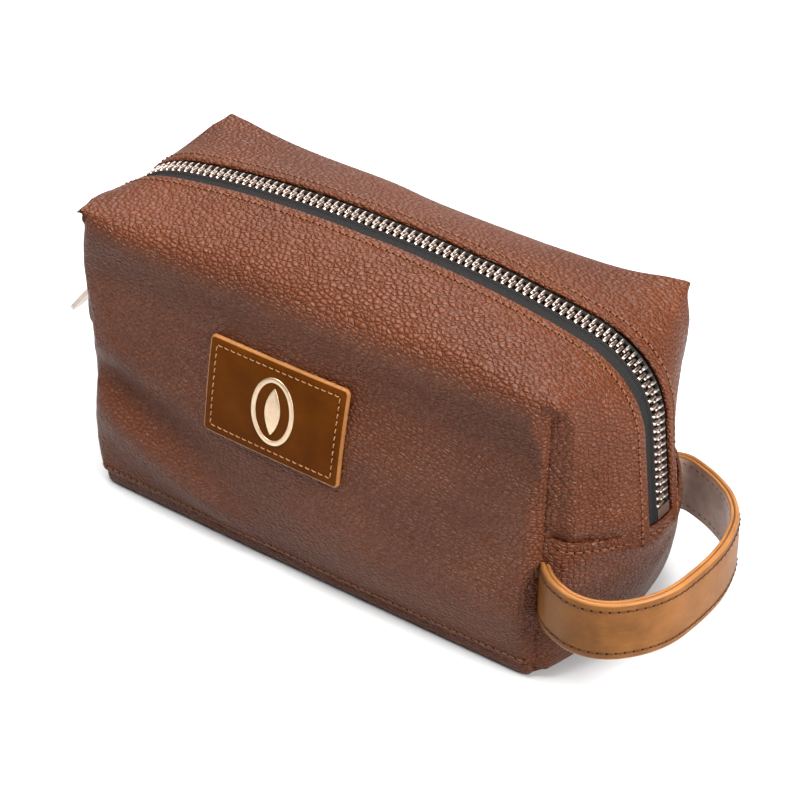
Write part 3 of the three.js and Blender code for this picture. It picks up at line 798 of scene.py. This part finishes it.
def soften(verts, faces, weight, rounds):
    """Evens out the surface where weight is above 0. Open edges only slide along themselves."""
    pairs = np.concatenate([faces[:, [k, (k + 1) % 4]] for k in range(4)])
    pairs = np.unique(np.sort(pairs, axis=1), axis=0)
    open_edges = np.array(boundary_edges(faces))
    on_edge = np.zeros(len(verts), bool)
    on_edge[open_edges.ravel()] = True
    inside = pairs[~(on_edge[pairs[:, 0]] & on_edge[pairs[:, 1]])]
    links = np.concatenate([inside, inside[:, ::-1]])
    links = links[~on_edge[links[:, 0]]]
    links = np.concatenate([links, open_edges, open_edges[:, ::-1]])
    count = np.bincount(links[:, 0], minlength=len(verts))[:, None]
    for _ in range(rounds):
        total = np.zeros_like(verts)
        np.add.at(total, links[:, 0], verts[links[:, 1]])
        verts = verts + (total / np.maximum(count, 1) - verts) * weight[:, None] * (count > 0)
    return verts


def round_ears(side, verts, faces):
    """Takes the sharp point off the two top corners."""
    weight = np.zeros(len(verts))
    for end in (-1, 1):
        top = shoulder(side, end * CORNER_X)
        ear = np.array([end * CORNER_X, side * corner_line(side, end, top), top])
        distance = np.linalg.norm(verts - ear, axis=1)
        weight = np.maximum(weight, 0.6 * (1 - smoothstep(5, 12, distance)))
    return soften(verts, faces, weight, 20)


END_TOP_CORNER = SEAM_Z + 5.5    # height of the end panels' top edge at the corners
END_TOP_MIDDLE = SEAM_Z - 0.8    # and at the middle


def end_top(share):
    """Height of an end panel's top edge at this share of the half depth."""
    return END_TOP_MIDDLE + (END_TOP_CORNER - END_TOP_MIDDLE) * np.minimum(share, 1) ** 1.6


def mouth_blend(piece):
    """Bakes the piece's placement into its mesh."""
    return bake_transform(piece)


HALVES = {}


def make_half(side):
    """The leather of the front or rear: its wall, its share of the top, and its wings down both ends."""
    name = SIDE_NAME[side]
    verts, faces, top_index, wing_index = half_grid(side)
    verts = round_ears(side, verts, faces)
    verts = sew_half(side, verts, faces, top_index, wing_index)
    close_seams(side, verts, top_index, wing_index)
    verts += lean_out(side, verts)
    to_slot = np.abs(verts[:, 1]) - SLOT_HALF
    upper = np.ones(len(verts), bool)
    upper[top_index[:, len(WING_ROWS):]] = False
    folded = HEM_FOLD * (1 - smoothstep(5, 9, to_slot))
    thickness = np.where(upper, LEATHER_THICK + folded, LEATHER_THICK)
    slide_hem(side, verts)
    closed_verts, closed_faces = thicken(verts, faces, thickness, 4)
    piece = make_piece(f"{name}_leather", closed_verts, closed_faces, COWHIDE, "brown_leather")
    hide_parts(f"{name}_leather_panel")
    mouth_blend(piece)
    HALVES[side] = {
        "verts": verts, "normals": vertex_normals(verts, faces), "faces": faces, "top": top_index,
        "wings": wing_index,
    }


# ------------------------------------------------------------------ end and base panels
END_FOOT_Z = 5.0                 # lower edge of the end panels
END_THICK = 1.5
END_STITCH_ROW = 6               # the row of the end panel that carries its stitches
END_LINING_ROW = 12              # the end's lining starts here, clear of the zip's tapes
LINING_GAP = 2.4
LINING_THICK = 0.5
ABOVE_ALL = 200                  # a height above the whole bag
END_ACROSS = np.concatenate([
    np.linspace(-1, -0.86, 9), np.linspace(-0.83, 0.83, 52), np.linspace(0.86, 1, 9),
])
END_DOWN = np.concatenate([[0, 0.5, 1.1, 1.8, 2.5, 3.0, 3.5, 4.2, 5.2], np.linspace(6.4, 61, 38)])
# height, and reach past END_X at the middle of the end
END_PROFILE = [
    (0, -21), (1, -19), (2.5, -17), (5, -14.6), (8, -12.6), (14, -9.0), (25, -4.6), (40, -1.3),
    (61, 0.9), (70, 0.9),
]
# height of the turned-up rim, and how far in it stands
BASE_RIM = [
    (6.6, 0.0), (5.4, 0.0), (4.2, 0.1), (3.0, 0.35), (2.0, 0.8), (1.2, 1.4), (0.6, 2.2), (0.2, 3.3),
    (0.0, 4.8),
]


def end_reach(y, z):
    """Half length of the lower end at this depth and height."""
    middle = END_X + np.interp(z, *np.array(END_PROFILE).T)
    corner = CORNER_X - 0.8 - 1.6 * (1 - smoothstep(0, 9, z))
    return corner + (middle - corner) * (1 - np.minimum(np.abs(y) / CORNER_Y, 1) ** BULGE_POWER)


def end_grid(end):
    """Points of an end panel, from the front to the rear and from its top edge down."""
    grid = []
    for share in END_ACROSS:
        top = end_top(abs(share))
        z = top - END_DOWN * (top - END_FOOT_Z) / END_DOWN[-1]
        y = share * corner_line(-1 if share < 0 else 1, end, z)
        grid.append(np.stack([end * end_reach(share * CORNER_Y, z), y, z], axis=1))
    return np.stack(grid)


def end_push(end, verts, to_seam):
    """Rolled side seams, a pressed line below the top edge, and soft folds under the zip."""
    drop = np.tile(END_DOWN, len(END_ACROSS))
    in_front = np.repeat(END_ACROSS < 0, len(END_DOWN))
    push = -roll_depth(to_seam, SEAM_ROLL) + 0.5 * hump(to_seam, 5, 3)
    push -= 2.2 * (end < 0) * in_front * hump(to_seam, 0, 30)
    push += 0.5 * hump(drop, 7.5, 4.0) - 0.35 * hump(drop, 3.5, 0.9)
    fold = noise(verts, (40, 20, 7), 11) + 0.6 * noise(verts, (30, 9, 9), 12)
    push += 0.8 * fold * smoothstep(1.5, 9, drop) * smoothstep(6, 14, verts[:, 2])
    gather = noise(verts, (20, 4.2, 20), 13)
    return push + 0.25 * gather * hump(drop, 0, 8) * smoothstep(0.5, 2, drop)


def make_end_lining(end, verts, normals, index):
    """The cloth just inside an end panel."""
    inside = index[4:-4, END_LINING_ROW:]
    faces = grid_faces(np.arange(inside.size).reshape(inside.shape))
    faces = faces[:, ::-1] if end > 0 else faces
    lining = (verts - normals * LINING_GAP)[inside.ravel()]
    cloth = thicken(lining, faces, LINING_THICK, 1)
    name = END_NAME[end]
    piece = make_piece(f"{name}_end_lining_cloth", *cloth, LINING_CLOTH, "lining_cloth", "bag")
    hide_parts(f"{name}_end_lining")


def make_end(end):
    """An end panel and its lining. Gives back the line that its stitches follow."""
    name = END_NAME[end]
    verts, index = numbered(end_grid(end))
    faces = grid_faces(index)
    faces = faces[:, ::-1] if end > 0 else faces
    to_seam = (1 - np.abs(np.repeat(END_ACROSS, len(END_DOWN)))) * CORNER_Y * WING_SLANT
    verts = verts + vertex_normals(verts, faces) * end_push(end, verts, to_seam)[:, None]
    verts[:, 1] -= np.sign(verts[:, 1]) * SEAM_ROLL * (1 - smoothstep(0, 12, to_seam))
    close_strip(-1, end, verts, index[:SEAM_COLUMNS], ABOVE_ALL)
    close_strip(1, end, verts, index[::-1][:SEAM_COLUMNS], ABOVE_ALL)
    if end < 0:
        verts = verts + lean_out(-1, verts)
    leather = thicken(verts, faces, END_THICK, 4)
    piece = make_piece(f"{name}_end_leather", *leather, COWHIDE, "brown_leather", "bag")
    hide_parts(f"{name}_end_panel")
    normals = vertex_normals(verts, faces)
    make_end_lining(end, verts, normals, index)
    row = index[3:-3, END_STITCH_ROW]
    return verts[row], normals[row]


def tray_line(rim, count, reach):
    """Height, share of the half size, and step inwards, on a line across a tray from rim to rim."""
    rise, step = np.array(rim).T
    flat = np.zeros(count)
    at_rim = np.ones(len(rise))
    level = np.concatenate([rise, flat, rise[::-1]])
    share = np.concatenate([at_rim, np.linspace(reach, -reach, count), -at_rim])
    return level, share, np.concatenate([step, flat, step[::-1]])


def base_grid(rim, inset):
    """Points of a tray: flat, with its rim turned up along all four sides."""
    x_level, x_share, x_step = tray_line(rim, 70, 0.94)
    grid = []
    for level, share, drawn in zip(*tray_line(rim, 34, 0.84)):
        side = -1 if share < 0 else 1
        y = share * CORNER_Y
        z = np.maximum(level, x_level)
        reach = np.where(np.abs(x_share) == 1, end_reach(y, z), end_reach(y, 0))
        step = x_step if abs(share) < 1 else np.maximum(x_step, 0.4 * drawn)
        x = x_share * (reach - inset - step)
        wall = np.abs(wall_point(side, np.clip(x, -CORNER_X, CORNER_X), WALL_LOW))
        grid.append(np.stack([x, share * (wall - inset - drawn), z], axis=1))
    return np.stack(grid)


BASE_THICK = 1.4
# piece, its CAD node, bottom and top height, inset, material and slot
BASE_LAYERS = [
    ("base_stiffener", "base_board", 1.9, 3.2, 6.0, BOARD, "stiffener"),
    ("base_lining_cloth", "base_lining", 3.6, 4.2, 5.5, LINING_CLOTH, "lining_cloth"),
]


def make_base():
    """The base leather with its turned-up rim, and the board and lining on it."""
    verts, index = numbered(base_grid(BASE_RIM, 1.0))
    to_corner = np.hypot(CORNER_X - np.abs(verts[:, 0]), CORNER_Y - np.abs(verts[:, 1]))
    verts[:, :2] -= np.sign(verts[:, :2]) * (2.6 * (1 - smoothstep(0, 8, to_corner)))[:, None]
    leather = thicken(verts, turned(verts, grid_faces(index), 2, -1), BASE_THICK, 3)
    piece = make_piece("base_leather", *leather, COWHIDE, "brown_leather", "bag")
    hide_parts("base_leather_panel")
    for name, node, low, high, inset, material, slot in BASE_LAYERS:
        verts, index = numbered(base_grid([(0.0, 0.0)], inset) + [0, 0, high])
        layer = thicken(verts, turned(verts, grid_faces(index), 2, 1), high - low, 2)
        piece = make_piece(name, *layer, material, slot, "bag")
        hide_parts(node)


# ------------------------------------------------------------------ stitching
STITCH_RADIUS = 0.32
STITCH_STEPS = np.linspace(0, 1, 7)
STITCH_LIFT = np.array([-1.3, 0.1, 0.75, 0.95, 0.75, 0.1, -1.3])     # in thread radii
STITCH_TURN = np.linspace(0, 2 * math.pi, 6, endpoint=False)[:, None]


def stitch(spot, up, across, radius):
    """A short thread that rises from the surface and dips back into it."""
    lift = STITCH_LIFT * radius
    slant = (STITCH_STEPS - 0.5)[:, None] * across * radius * 1.2
    centre = spot + up * lift[:, None] + slant
    around = np.cos(STITCH_TURN) * across[:, None] + np.sin(STITCH_TURN) * up[:, None] * 0.85
    verts, rings = numbered(centre[:, None] + radius * around)
    wrapped = np.hstack([rings, rings[:, :1]])
    caps = [[0, 1, 2, 3], [0, 3, 4, 5], [39, 38, 37, 36], [41, 40, 39, 36]]
    return verts, np.vstack([grid_faces(wrapped)[:, ::-1], caps])


def needle_hole(middle, up, ahead, across, radius):
    """A dimple where the thread goes into the leather, coloured near black as painted shade."""
    around = np.cos(STITCH_TURN) * across + np.sin(STITCH_TURN) * ahead
    disc = middle + up * 0.05 + radius * 1.7 * around
    sunk = middle - up * 0.6 + radius * 0.6 * around
    sides = [[i, (i + 1) % 6, 6 + (i + 1) % 6, 6 + i] for i in range(6)]
    lids = [[3, 2, 1, 0], [5, 4, 3, 0], [6, 7, 8, 9], [6, 9, 10, 11]]
    return np.vstack([disc, sunk]), np.array(sides + lids)


def stitches(points, normals, pitch, radius):
    """Separate stitches along a line on a surface, and the needle holes between them."""
    length = arc_length(points)
    count = int(length[-1] / pitch)
    pitch = length[-1] / count
    thread, holes = [], []
    for k in range(count):
        at = (k + 0.08 + 0.84 * STITCH_STEPS) * pitch
        spot = along(points, at)
        up = unit(np.stack([np.interp(at, length, normals[:, i]) for i in range(3)], axis=1))
        ahead = unit(np.gradient(spot, axis=0))
        across = unit(np.cross(ahead, up))
        thread.append(stitch(spot, up, across, radius))
        middle = spot[0] - ahead[0] * 0.08 * pitch
        holes.append(needle_hole(middle, up[0], ahead[0], across[0], radius))
    return thread, holes


def sew(name, lines, pitch, body, material=THREAD_BROWN, radius=STITCH_RADIUS, blend_side=None):
    """One piece of thread and one of needle holes for several lines."""
    threads, holes = [], []
    for points, normals in lines:
        thread, hole = stitches(points, normals, pitch, radius)
        threads += thread
        holes += hole
    made = [
        make_piece(f"{name}_thread", *joined(threads), material, "brown_leather", body),
        make_piece(f"{name}_needle_holes", *joined(holes), HOLE_PAINTED_SHADE, "brown_leather", body),
    ]
    for piece in made:
        if blend_side is not None:
            mouth_blend(piece)
    return made


def grid_line(half, vertices):
    """Places and normals of some of a half's vertices."""
    vertices = np.array(vertices)
    return half["verts"][vertices], half["normals"][vertices]


def sew_halves():
    """Stitches along the hems beside the zip and along the bottom edges."""
    rows = len(WING_ROWS)
    for side in (-1, 1):
        half = HALVES[side]
        name = SIDE_NAME[side]
        right, left = half["wings"]
        row = HEM_STITCH_ROW
        hem = grid_line(half, [*right[:0:-1, row], *half["top"][:, row], *left[1:, row]])
        sew(f"{name}_hem", [hem], 3.1, None, blend_side=side)
        heights = half["verts"][half["top"][60, rows:]][:, 2]
        low_row = int(np.argmin(np.abs(heights - WALL_LOW - 3.2))) + rows
        sew(f"{name}_bottom", [grid_line(half, half["top"][6:-6, low_row])], 3.3, "bag")


# ------------------------------------------------------------------ zip
TAPE_DEPTH = 1.9                 # the tape's place under the leather's level
TAPE_THICK = 0.6
# distance from the middle, and how far the tape's edge bead stands up there
TAPE_SECTION = [
    (3.3, 0.1), (3.6, 0.75), (4.1, 0.85), (4.6, 0.7), (5.0, 0.3), (5.3, 0), (6.2, 0.06), (7.4, 0),
    (8.6, 0.06), (10, 0), (12, 0), (14.5, 0),
]
TOOTH_PITCH = 3.3
TEETH_START_LEFT = 84            # height of the lowest tooth at each end
TEETH_START_RIGHT = 67
FITTINGS = ("zip_slider", "slider_bail", "pull_tab", "zip_bottom_stop", "front_top_stop", "rear_top_stop")


def sweep_across(distances, y_values, depths):
    """A surface along the zip; every y has its own depth under the leather's level."""
    grid = []
    for y, depth in zip(y_values, depths):
        x, z = zip_at(distances, depth)
        grid.append(np.stack([x, np.full_like(x, y), z], axis=1))
    return np.stack(grid)


def make_tape(side):
    """The woven tape of one side, with the bead that carries the teeth."""
    name = SIDE_NAME[side]
    y, bead = np.array(TAPE_SECTION).T
    droop = 13 * (y / CORNER_Y) ** BULGE_POWER * 0.6
    edge = SLOT_HALF + HEM_SHIFT[side]
    under = smoothstep(edge - 2.6, edge - 0.2, y) * 1.5
    distances = np.linspace(0.5, ZIP_LENGTH[-1] - 0.5, 300)
    verts, index = numbered(sweep_across(distances, side * y, TAPE_DEPTH - bead + droop + under))
    tape = thicken(verts, turned(verts, grid_faces(index), 2, 1), TAPE_THICK, 2)
    piece = make_piece(f"{name}_tape", *tape, TAPE_BLACK, "zip_tape", f"{name}_mouth")
    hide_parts(f"{name}_zip_tape")


# place across the zip, half width along it, half thickness
TOOTH_RINGS = [
    (3.95, 0.40, 1.00), (3.75, 0.62, 1.32), (3.5, 0.70, 1.42), (1.2, 0.70, 1.42), (0.7, 0.52, 1.22),
    (-0.2, 0.52, 1.18), (-0.75, 0.60, 1.18), (-1.05, 0.50, 1.05), (-1.2, 0.3, 0.8),
]

# the outline of a tooth, along the zip and across its thickness
TOOTH_OUTLINE = [(-1, -0.6), (-0.6, -1), (0.6, -1), (1, -0.6), (1, 0.6), (0.6, 1), (-0.6, 1), (-1, 0.6)]
TOOTH_CAP = [(0, 1, 2, 3), (0, 3, 4, 7), (4, 5, 6, 7)]


def tooth(side, distance):
    """One element: a clamp over the bead, a neck, and a head that passes the middle."""
    middle = np.array(zip_at(distance, 2.0))
    before, after = np.array(zip_at(distance - 0.5)), np.array(zip_at(distance + 0.5))
    ahead = unit(after - before)
    inward = np.array([-ahead[1], ahead[0]])
    verts = []
    for y, half_run, half_deep in TOOTH_RINGS:
        for run, deep in TOOTH_OUTLINE:
            x, z = middle + ahead * run * half_run + inward * deep * half_deep
            verts.append([x, side * y, z])
    index = np.arange(len(verts)).reshape(-1, len(TOOTH_OUTLINE))
    wrapped = np.hstack([index, index[:, :1]])
    near_caps = [index[0][list(cap)] for cap in TOOTH_CAP]
    far_caps = [index[-1][list(reversed(cap))] for cap in TOOTH_CAP]
    faces = np.vstack([grid_faces(wrapped)[:, ::-1], near_caps, far_caps])
    return np.array(verts), faces if side > 0 else faces[:, ::-1]


def make_teeth(side):
    """The teeth of one side; the rear ones stand half a pitch on, between the front ones."""
    name = SIDE_NAME[side]
    slope = np.hypot(RUN_HEIGHT, RUN_LEAN) / RUN_HEIGHT
    start = (TEETH_START_RIGHT - SEAM_Z + ZIP_TAIL) * slope + (TOOTH_PITCH / 2 if side > 0 else 0)
    stop = ZIP_LENGTH[-1] - (TEETH_START_LEFT - SEAM_Z + ZIP_TAIL) * slope
    teeth = joined([tooth(side, distance) for distance in np.arange(start, stop, TOOTH_PITCH)])
    piece = make_piece(f"{name}_teeth", *teeth, ZIP_METAL, "zip_metal", f"{name}_mouth")
    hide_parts(f"{name}_zip_teeth")


def dress_fittings():
    """The zip's fittings keep their own shape, with their edges rounded off."""
    for node in FITTINGS:
        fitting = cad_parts[node]
        fitting.data.materials.clear()
        fitting.data.materials.append(CAD_METAL)
        rounding = fitting.modifiers.new("rounded", "BEVEL")
        rounding.width = 0.35 * MM
        rounding.segments = 3
        rounding.limit_method = "ANGLE"


# ------------------------------------------------------------------ lining
FACING_REACH = 32                # how far out from the zip's middle the facing goes
FACING_DEPTH = 4.6
FACING_THICK = 0.6


def drawn_in(verts, depth):
    """A copy of the surface moved towards the inside on each axis, so that it cannot cross itself."""
    x, y, z = verts.T
    return np.stack([
        x - depth * 1.2 * np.sign(x) * smoothstep(70, 112, np.abs(x)),
        y - depth * np.sign(y) * smoothstep(14, 42, np.abs(y)),
        z - depth * smoothstep(40, 120, z),
    ], axis=1)


def make_lining(side):
    """The lining hangs just inside the leather."""
    name = SIDE_NAME[side]
    half = HALVES[side]
    depth = 3.0 + 0.5 * noise(half["verts"], (40, 40, 30), 21)
    cloth = thicken(drawn_in(half["verts"], depth), half["faces"], LINING_THICK, 1)
    piece = make_piece(f"{name}_lining_cloth", *cloth, LINING_CLOTH, "lining_cloth")
    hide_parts(f"{name}_lining")
    mouth_blend(piece)


def make_facing(side):
    """The facing backs the zip, between the leather and the lining."""
    name = SIDE_NAME[side]
    half = HALVES[side]
    _, y, z = half["verts"].T
    rows = int(np.argmin(np.abs(WING_ROWS - FACING_REACH)))
    keep = np.zeros(len(half["verts"]), bool)
    keep[half["top"][:, 1:rows]] = True
    for wing in half["wings"]:
        keep[wing[:, 1:rows]] = True
    keep &= z > SEAM_Z + 2 + np.abs(y) * 0.36
    faces = half["faces"][keep[half["faces"]].all(axis=1)]
    used, renumbered = np.unique(faces, return_inverse=True)
    verts = drawn_in(half["verts"], FACING_DEPTH)[used]
    cloth = thicken(verts, renumbered.reshape(-1, 4), FACING_THICK, 1)
    piece = make_piece(f"{name}_facing", *cloth, LINING_CLOTH, "lining_cloth", f"{name}_mouth")
    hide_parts(f"{name}_mouth_facing")


# ------------------------------------------------------------------ strap
STRAP_PATH = [
    (103.8, -40.5), (107.4, -44.8), (111.2, -48.6), (115.4, -51.6), (120.5, -53.8), (126, -55.2),
    (134, -54.4), (142, -50), (149.5, -41), (154.2, -30), (156, -16), (156.2, -3), (154.6, 9),
    (150.2, 22), (142.5, 32), (133, 38.6), (124, 42.6), (117, 44.6), (111.5, 43.6), (107, 41.5),
]
STRAP_OUTER = 1.9                # thickness of the outer leather
STRAP_INNER = 1.5                # thickness of the suede
STRAP_STITCH = 2.6               # stitches this far from each edge
SUEDE_AT = -0.1                  # place of the suede's outer face
STITCH_ROWS = 41                 # points across the strap where the stitch lines are looked up
# piece, its CAD node, place of its outer face, thickness, material and slot
STRAP_LAYERS = [
    ("handle_strap_outer", "handle_outer_strap", STRAP_OUTER, STRAP_OUTER, STRAP_TAN, "tan_leather"),
    ("handle_strap_suede", "handle_inner_strap", SUEDE_AT, STRAP_INNER, STRAP_SUEDE, "suede"),
]


def strap_surface(offset, across):
    """A surface along the strap at this distance outside its path, and the outward directions."""
    path = catmull(STRAP_PATH)
    path = along(path, np.linspace(0, arc_length(path)[-1], 120))
    ahead = unit(np.gradient(path, axis=0))
    out = np.stack([ahead[:, 1], -ahead[:, 0]], axis=1)
    bow = np.sin(math.pi * np.linspace(0, 1, len(path)))
    z = np.linspace(STRAP_LOW, STRAP_HIGH, across)
    crown = 0.35 * (1 - ((z - z.mean()) / ((STRAP_HIGH - STRAP_LOW) / 2)) ** 2)
    grid = []
    for height, extra in zip(z, crown):
        tilt = (height - z.mean()) * 0.03 * bow
        spot = path + out * (offset + extra) - tilt[:, None] * out
        grid.append(np.column_stack([spot, height + 1.2 * bow]))
    return np.stack(grid), np.column_stack([out, np.zeros(len(out))])


def handle_blend(piece):
    """Bakes the piece's placement into its mesh."""
    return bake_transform(piece)


def burnish_rims(piece, surface_faces):
    """The rounded edges take the burnished material: rim faces come after both surfaces."""
    piece.data.materials.append(BURNISHED)
    for polygon in list(piece.data.polygons)[2 * surface_faces:]:
        polygon.material_index = 1


def strap_stitches(name, offset, facing, material, radius):
    """Two stitch lines, one near each edge, on the outer (1) or inner (-1) face."""
    grid, out = strap_surface(offset, STITCH_ROWS)
    heights = np.linspace(0, STRAP_HIGH - STRAP_LOW, STITCH_ROWS)
    low = int(np.argmin(np.abs(heights - STRAP_STITCH)))
    lines = [(grid[row][5:-5], facing * out[5:-5]) for row in (low, STITCH_ROWS - 1 - low)]
    for piece in sew(name, lines, 3.4, None, material, radius):
        handle_blend(piece)


def make_strap():
    """The strap loop: outer leather and suede with rounded, burnished edges, sewn together."""
    for name, node, offset, thickness, material, slot in STRAP_LAYERS:
        grid, _ = strap_surface(offset, 15)
        verts, index = numbered(grid)
        faces = grid_faces(index)
        if vertex_normals(verts, faces)[index[7, 60]][0] < 0:
            faces = faces[:, ::-1]
        piece = make_piece(name, *thicken(verts, faces, thickness, 4), material, slot)
        burnish_rims(piece, len(faces))
        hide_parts(node)
        handle_blend(piece)
    strap_stitches("handle", STRAP_OUTER + 0.05, 1, THREAD_DARK, 0.3)
    strap_stitches("handle_inside", SUEDE_AT - STRAP_INNER + 0.3, -1, THREAD_BROWN, 0.28)


# ------------------------------------------------------------------ badge
PATCH_CENTRE = (-14.0, 77.0)
PATCH_SIZE = (64.6, 40.0)
PATCH_CORNER = 1.4
PATCH_THICK = 1.7
PATCH_STITCH = 2.8


def wall_terms(x, z):
    """The terms of a gentle curve, measured from the badge's centre."""
    a, b = np.asarray(x) - PATCH_CENTRE[0], np.asarray(z) - PATCH_CENTRE[1]
    return np.stack([np.ones_like(a), a, b, a * a, a * b, b * b], axis=-1)


def smooth_wall():
    """A function of x and z: the front wall's depth around the badge, as a gentle curve fitted to it."""
    x, y, z = HALVES[-1]["verts"].T
    near = (np.abs(x - PATCH_CENTRE[0]) < 36) & (np.abs(z - PATCH_CENTRE[1]) < 23) & (y < -35)
    terms = wall_terms(x[near], z[near])
    fit = np.linalg.lstsq(terms, y[near], rcond=None)[0]
    stands_back = 0.6 * np.max(terms @ fit - y[near])

    def depth(at_x, at_z):
        return wall_terms(at_x, at_z) @ fit - stands_back

    return depth


def rounded_grid(columns, rows, size, corner):
    """Grid points of a rectangle with round corners, around 0."""
    half_w, half_h = size[0] / 2, size[1] / 2
    a, b = np.meshgrid(columns, rows, indexing="ij")
    x, z = a * half_w, b * half_h
    over_x = np.clip((np.abs(x) - half_w + corner) / corner, 0, 1)
    over_z = np.clip((np.abs(z) - half_h + corner) / corner, 0, 1)
    both = (over_x > 0) & (over_z > 0)
    round_x = half_w - corner + corner * over_x * np.sqrt(1 - over_z**2 / 2)
    round_z = half_h - corner + corner * over_z * np.sqrt(1 - over_x**2 / 2)
    return np.where(both, np.sign(x) * round_x, x), np.where(both, np.sign(z) * round_z, z)


def edge_spaced(count, size, corner):
    """Shares of the half size from -1 to 1, close together near the edges."""
    fine = 1 - np.array([0, 0.25, 0.5, 0.75, 1.0, 1.5, 2.2]) * corner / (size / 2)
    return np.concatenate([-fine, np.linspace(-fine[-1], fine[-1], count)[1:-1], fine[::-1]])


def patch_surface(wall):
    """The patch's outer face, with a groove where its stitches lie and a soft edge."""
    width, height = PATCH_SIZE
    columns = edge_spaced(36, width, PATCH_CORNER)
    rows = edge_spaced(22, height, PATCH_CORNER)
    x, z = rounded_grid(columns, rows, PATCH_SIZE, PATCH_CORNER)
    to_edge = np.minimum(width / 2 - np.abs(x), height / 2 - np.abs(z))
    groove = 0.22 * hump(to_edge, PATCH_STITCH, 0.55)
    x, z = x + PATCH_CENTRE[0], z + PATCH_CENTRE[1]
    y = wall(x, z) - PATCH_THICK + groove + 0.25 * (1 - smoothstep(0, 1.6, to_edge))
    return np.stack([x, y, z], axis=-1)


def patch_lines(wall):
    """The four stitch lines, one along each side of the patch."""
    half_w, half_h = (size / 2 - PATCH_STITCH for size in PATCH_SIZE)
    corners = [(-1, -1), (1, -1), (1, 1), (-1, 1), (-1, -1)]
    share = np.linspace(0, 1, 40)
    lines = []
    for (from_x, from_z), (to_x, to_z) in zip(corners, corners[1:]):
        x = PATCH_CENTRE[0] + half_w * (from_x + (to_x - from_x) * share)
        z = PATCH_CENTRE[1] + half_h * (from_z + (to_z - from_z) * share)
        line = np.stack([x, wall(x, z) - PATCH_THICK + 0.18, z], axis=1)
        lines.append((line, np.tile([0.0, -1.0, 0.0], (len(line), 1))))
    return lines


def make_badge():
    """The stitched leather patch with its mark."""
    wall = smooth_wall()
    verts, index = numbered(patch_surface(wall))
    faces = turned(verts, grid_faces(index), 1, -1)
    leather = thicken(verts, faces, PATCH_THICK + 0.4, 4)
    piece = make_piece("badge_leather", *leather, PATCH_TAN, "patch_leather")
    mouth_blend(piece)
    burnish_rims(piece, len(faces))
    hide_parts("badge_patch")
    sew("badge", patch_lines(wall), 3.0, None, THREAD_TAN, 0.27, -1)
    make_emblem(wall)


EMBLEM_THICK = 0.35


def emblem_part(x, z, wall, wraps):
    """One flat part of the mark, from a grid of places around the badge's centre."""
    x, z = PATCH_CENTRE[0] + x, PATCH_CENTRE[1] + z
    verts, index = numbered(np.stack([x, wall(x, z) - PATCH_THICK - EMBLEM_THICK, z], axis=-1))
    faces = grid_faces(np.hstack([index, index[:, :1]]) if wraps else index)
    return thicken(verts, turned(verts, faces, 1, -1), EMBLEM_THICK + 0.1, 2)


def make_emblem(wall):
    """A generic mark: an upright oval ring around an almond shape."""
    turn = np.linspace(0, 2 * math.pi, 73)[:-1]
    inset = 1.7 * np.array([0, 0.5, 1.0])[:, None]
    ring = emblem_part((10.0 - inset) * np.cos(turn), (14.0 - inset) * np.sin(turn), wall, True)
    rise = np.linspace(-1, 1, 31)
    half = 3.3 * (1 - rise**2) + 0.15
    almond = emblem_part(np.stack([-half, 0 * half, half]), np.tile(9.6 * rise, (3, 1)), wall, False)
    piece = make_piece("badge_mark", *joined([ring, almond]), EMBLEM_METAL, "emblem_metal")
    mouth_blend(piece)
    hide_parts("badge_emblem")


make_camera()
for half_side in (-1, 1):
    make_half(half_side)
    make_tape(half_side)
    make_teeth(half_side)
    make_lining(half_side)
    make_facing(half_side)
sew_halves()
for end_side in (-1, 1):
    end_line = make_end(end_side)
    sew(f"{END_NAME[end_side]}_end", [end_line], 3.3, "bag")
make_base()
dress_fittings()
make_strap()
make_badge()


# ------------------------------------------------------------------ stage
LIGHT_TARGET = Vector((0, 0, 60)) * MM


def area_light(name, size, power, place):
    """A soft light at this place in millimetres, turned to the bag."""
    data = bpy.data.lights.new(name, "AREA")
    data.shape = "RECTANGLE"
    data.size, data.size_y = size
    data.energy = power
    light = bpy.data.objects.new(name, data)
    bpy.context.scene.collection.objects.link(light)
    light.location = Vector(place) * MM
    light.rotation_euler = (LIGHT_TARGET - light.location).to_track_quat("-Z", "Y").to_euler()


# name, size in metres, watts, and place in millimetres
LIGHTS = [
    ("overhead", (0.7, 0.7), 27, (-120, -150, 1000)),
    ("right_key", (0.6, 0.6), 28, (950, -100, 560)),
    ("back_left", (0.7, 0.5), 8, (-620, 850, 700)),
    ("front_left", (0.5, 0.35), 2.5, (-700, -500, 800)),
]
FLOOR_REACH = 4.0                # metres from its middle to each side
FLOOR_COLOR = (0.5, 0.5, 0.5)
WORLD_LIGHT = 0.10


def make_floor():
    """A plain floor under the bag."""
    n = Nodes("floor_white")
    n.finish(FLOOR_COLOR, 0.8, Specular_IOR_Level=0.1)
    corners = [(x * FLOOR_REACH, y * FLOOR_REACH, 0) for x, y in ((-1, -1), (1, -1), (1, 1), (-1, 1))]
    mesh = bpy.data.meshes.new("floor")
    mesh.from_pydata(corners, [], [(0, 1, 2, 3)])
    mesh.materials.append(n.material)
    floor = bpy.data.objects.new("floor", mesh)
    bpy.context.scene.collection.objects.link(floor)


def make_world():
    """Weak white light from all around."""
    world = bpy.data.worlds.new("studio")
    bpy.context.scene.world = world
    world.use_nodes = True
    background = world.node_tree.nodes["Background"]
    background.inputs["Color"].default_value = (1, 1, 1, 1)
    background.inputs["Strength"].default_value = WORLD_LIGHT


make_floor()
make_world()
for light_values in LIGHTS:
    area_light(*light_values)
bpy.context.scene.view_settings.view_transform = "Standard"
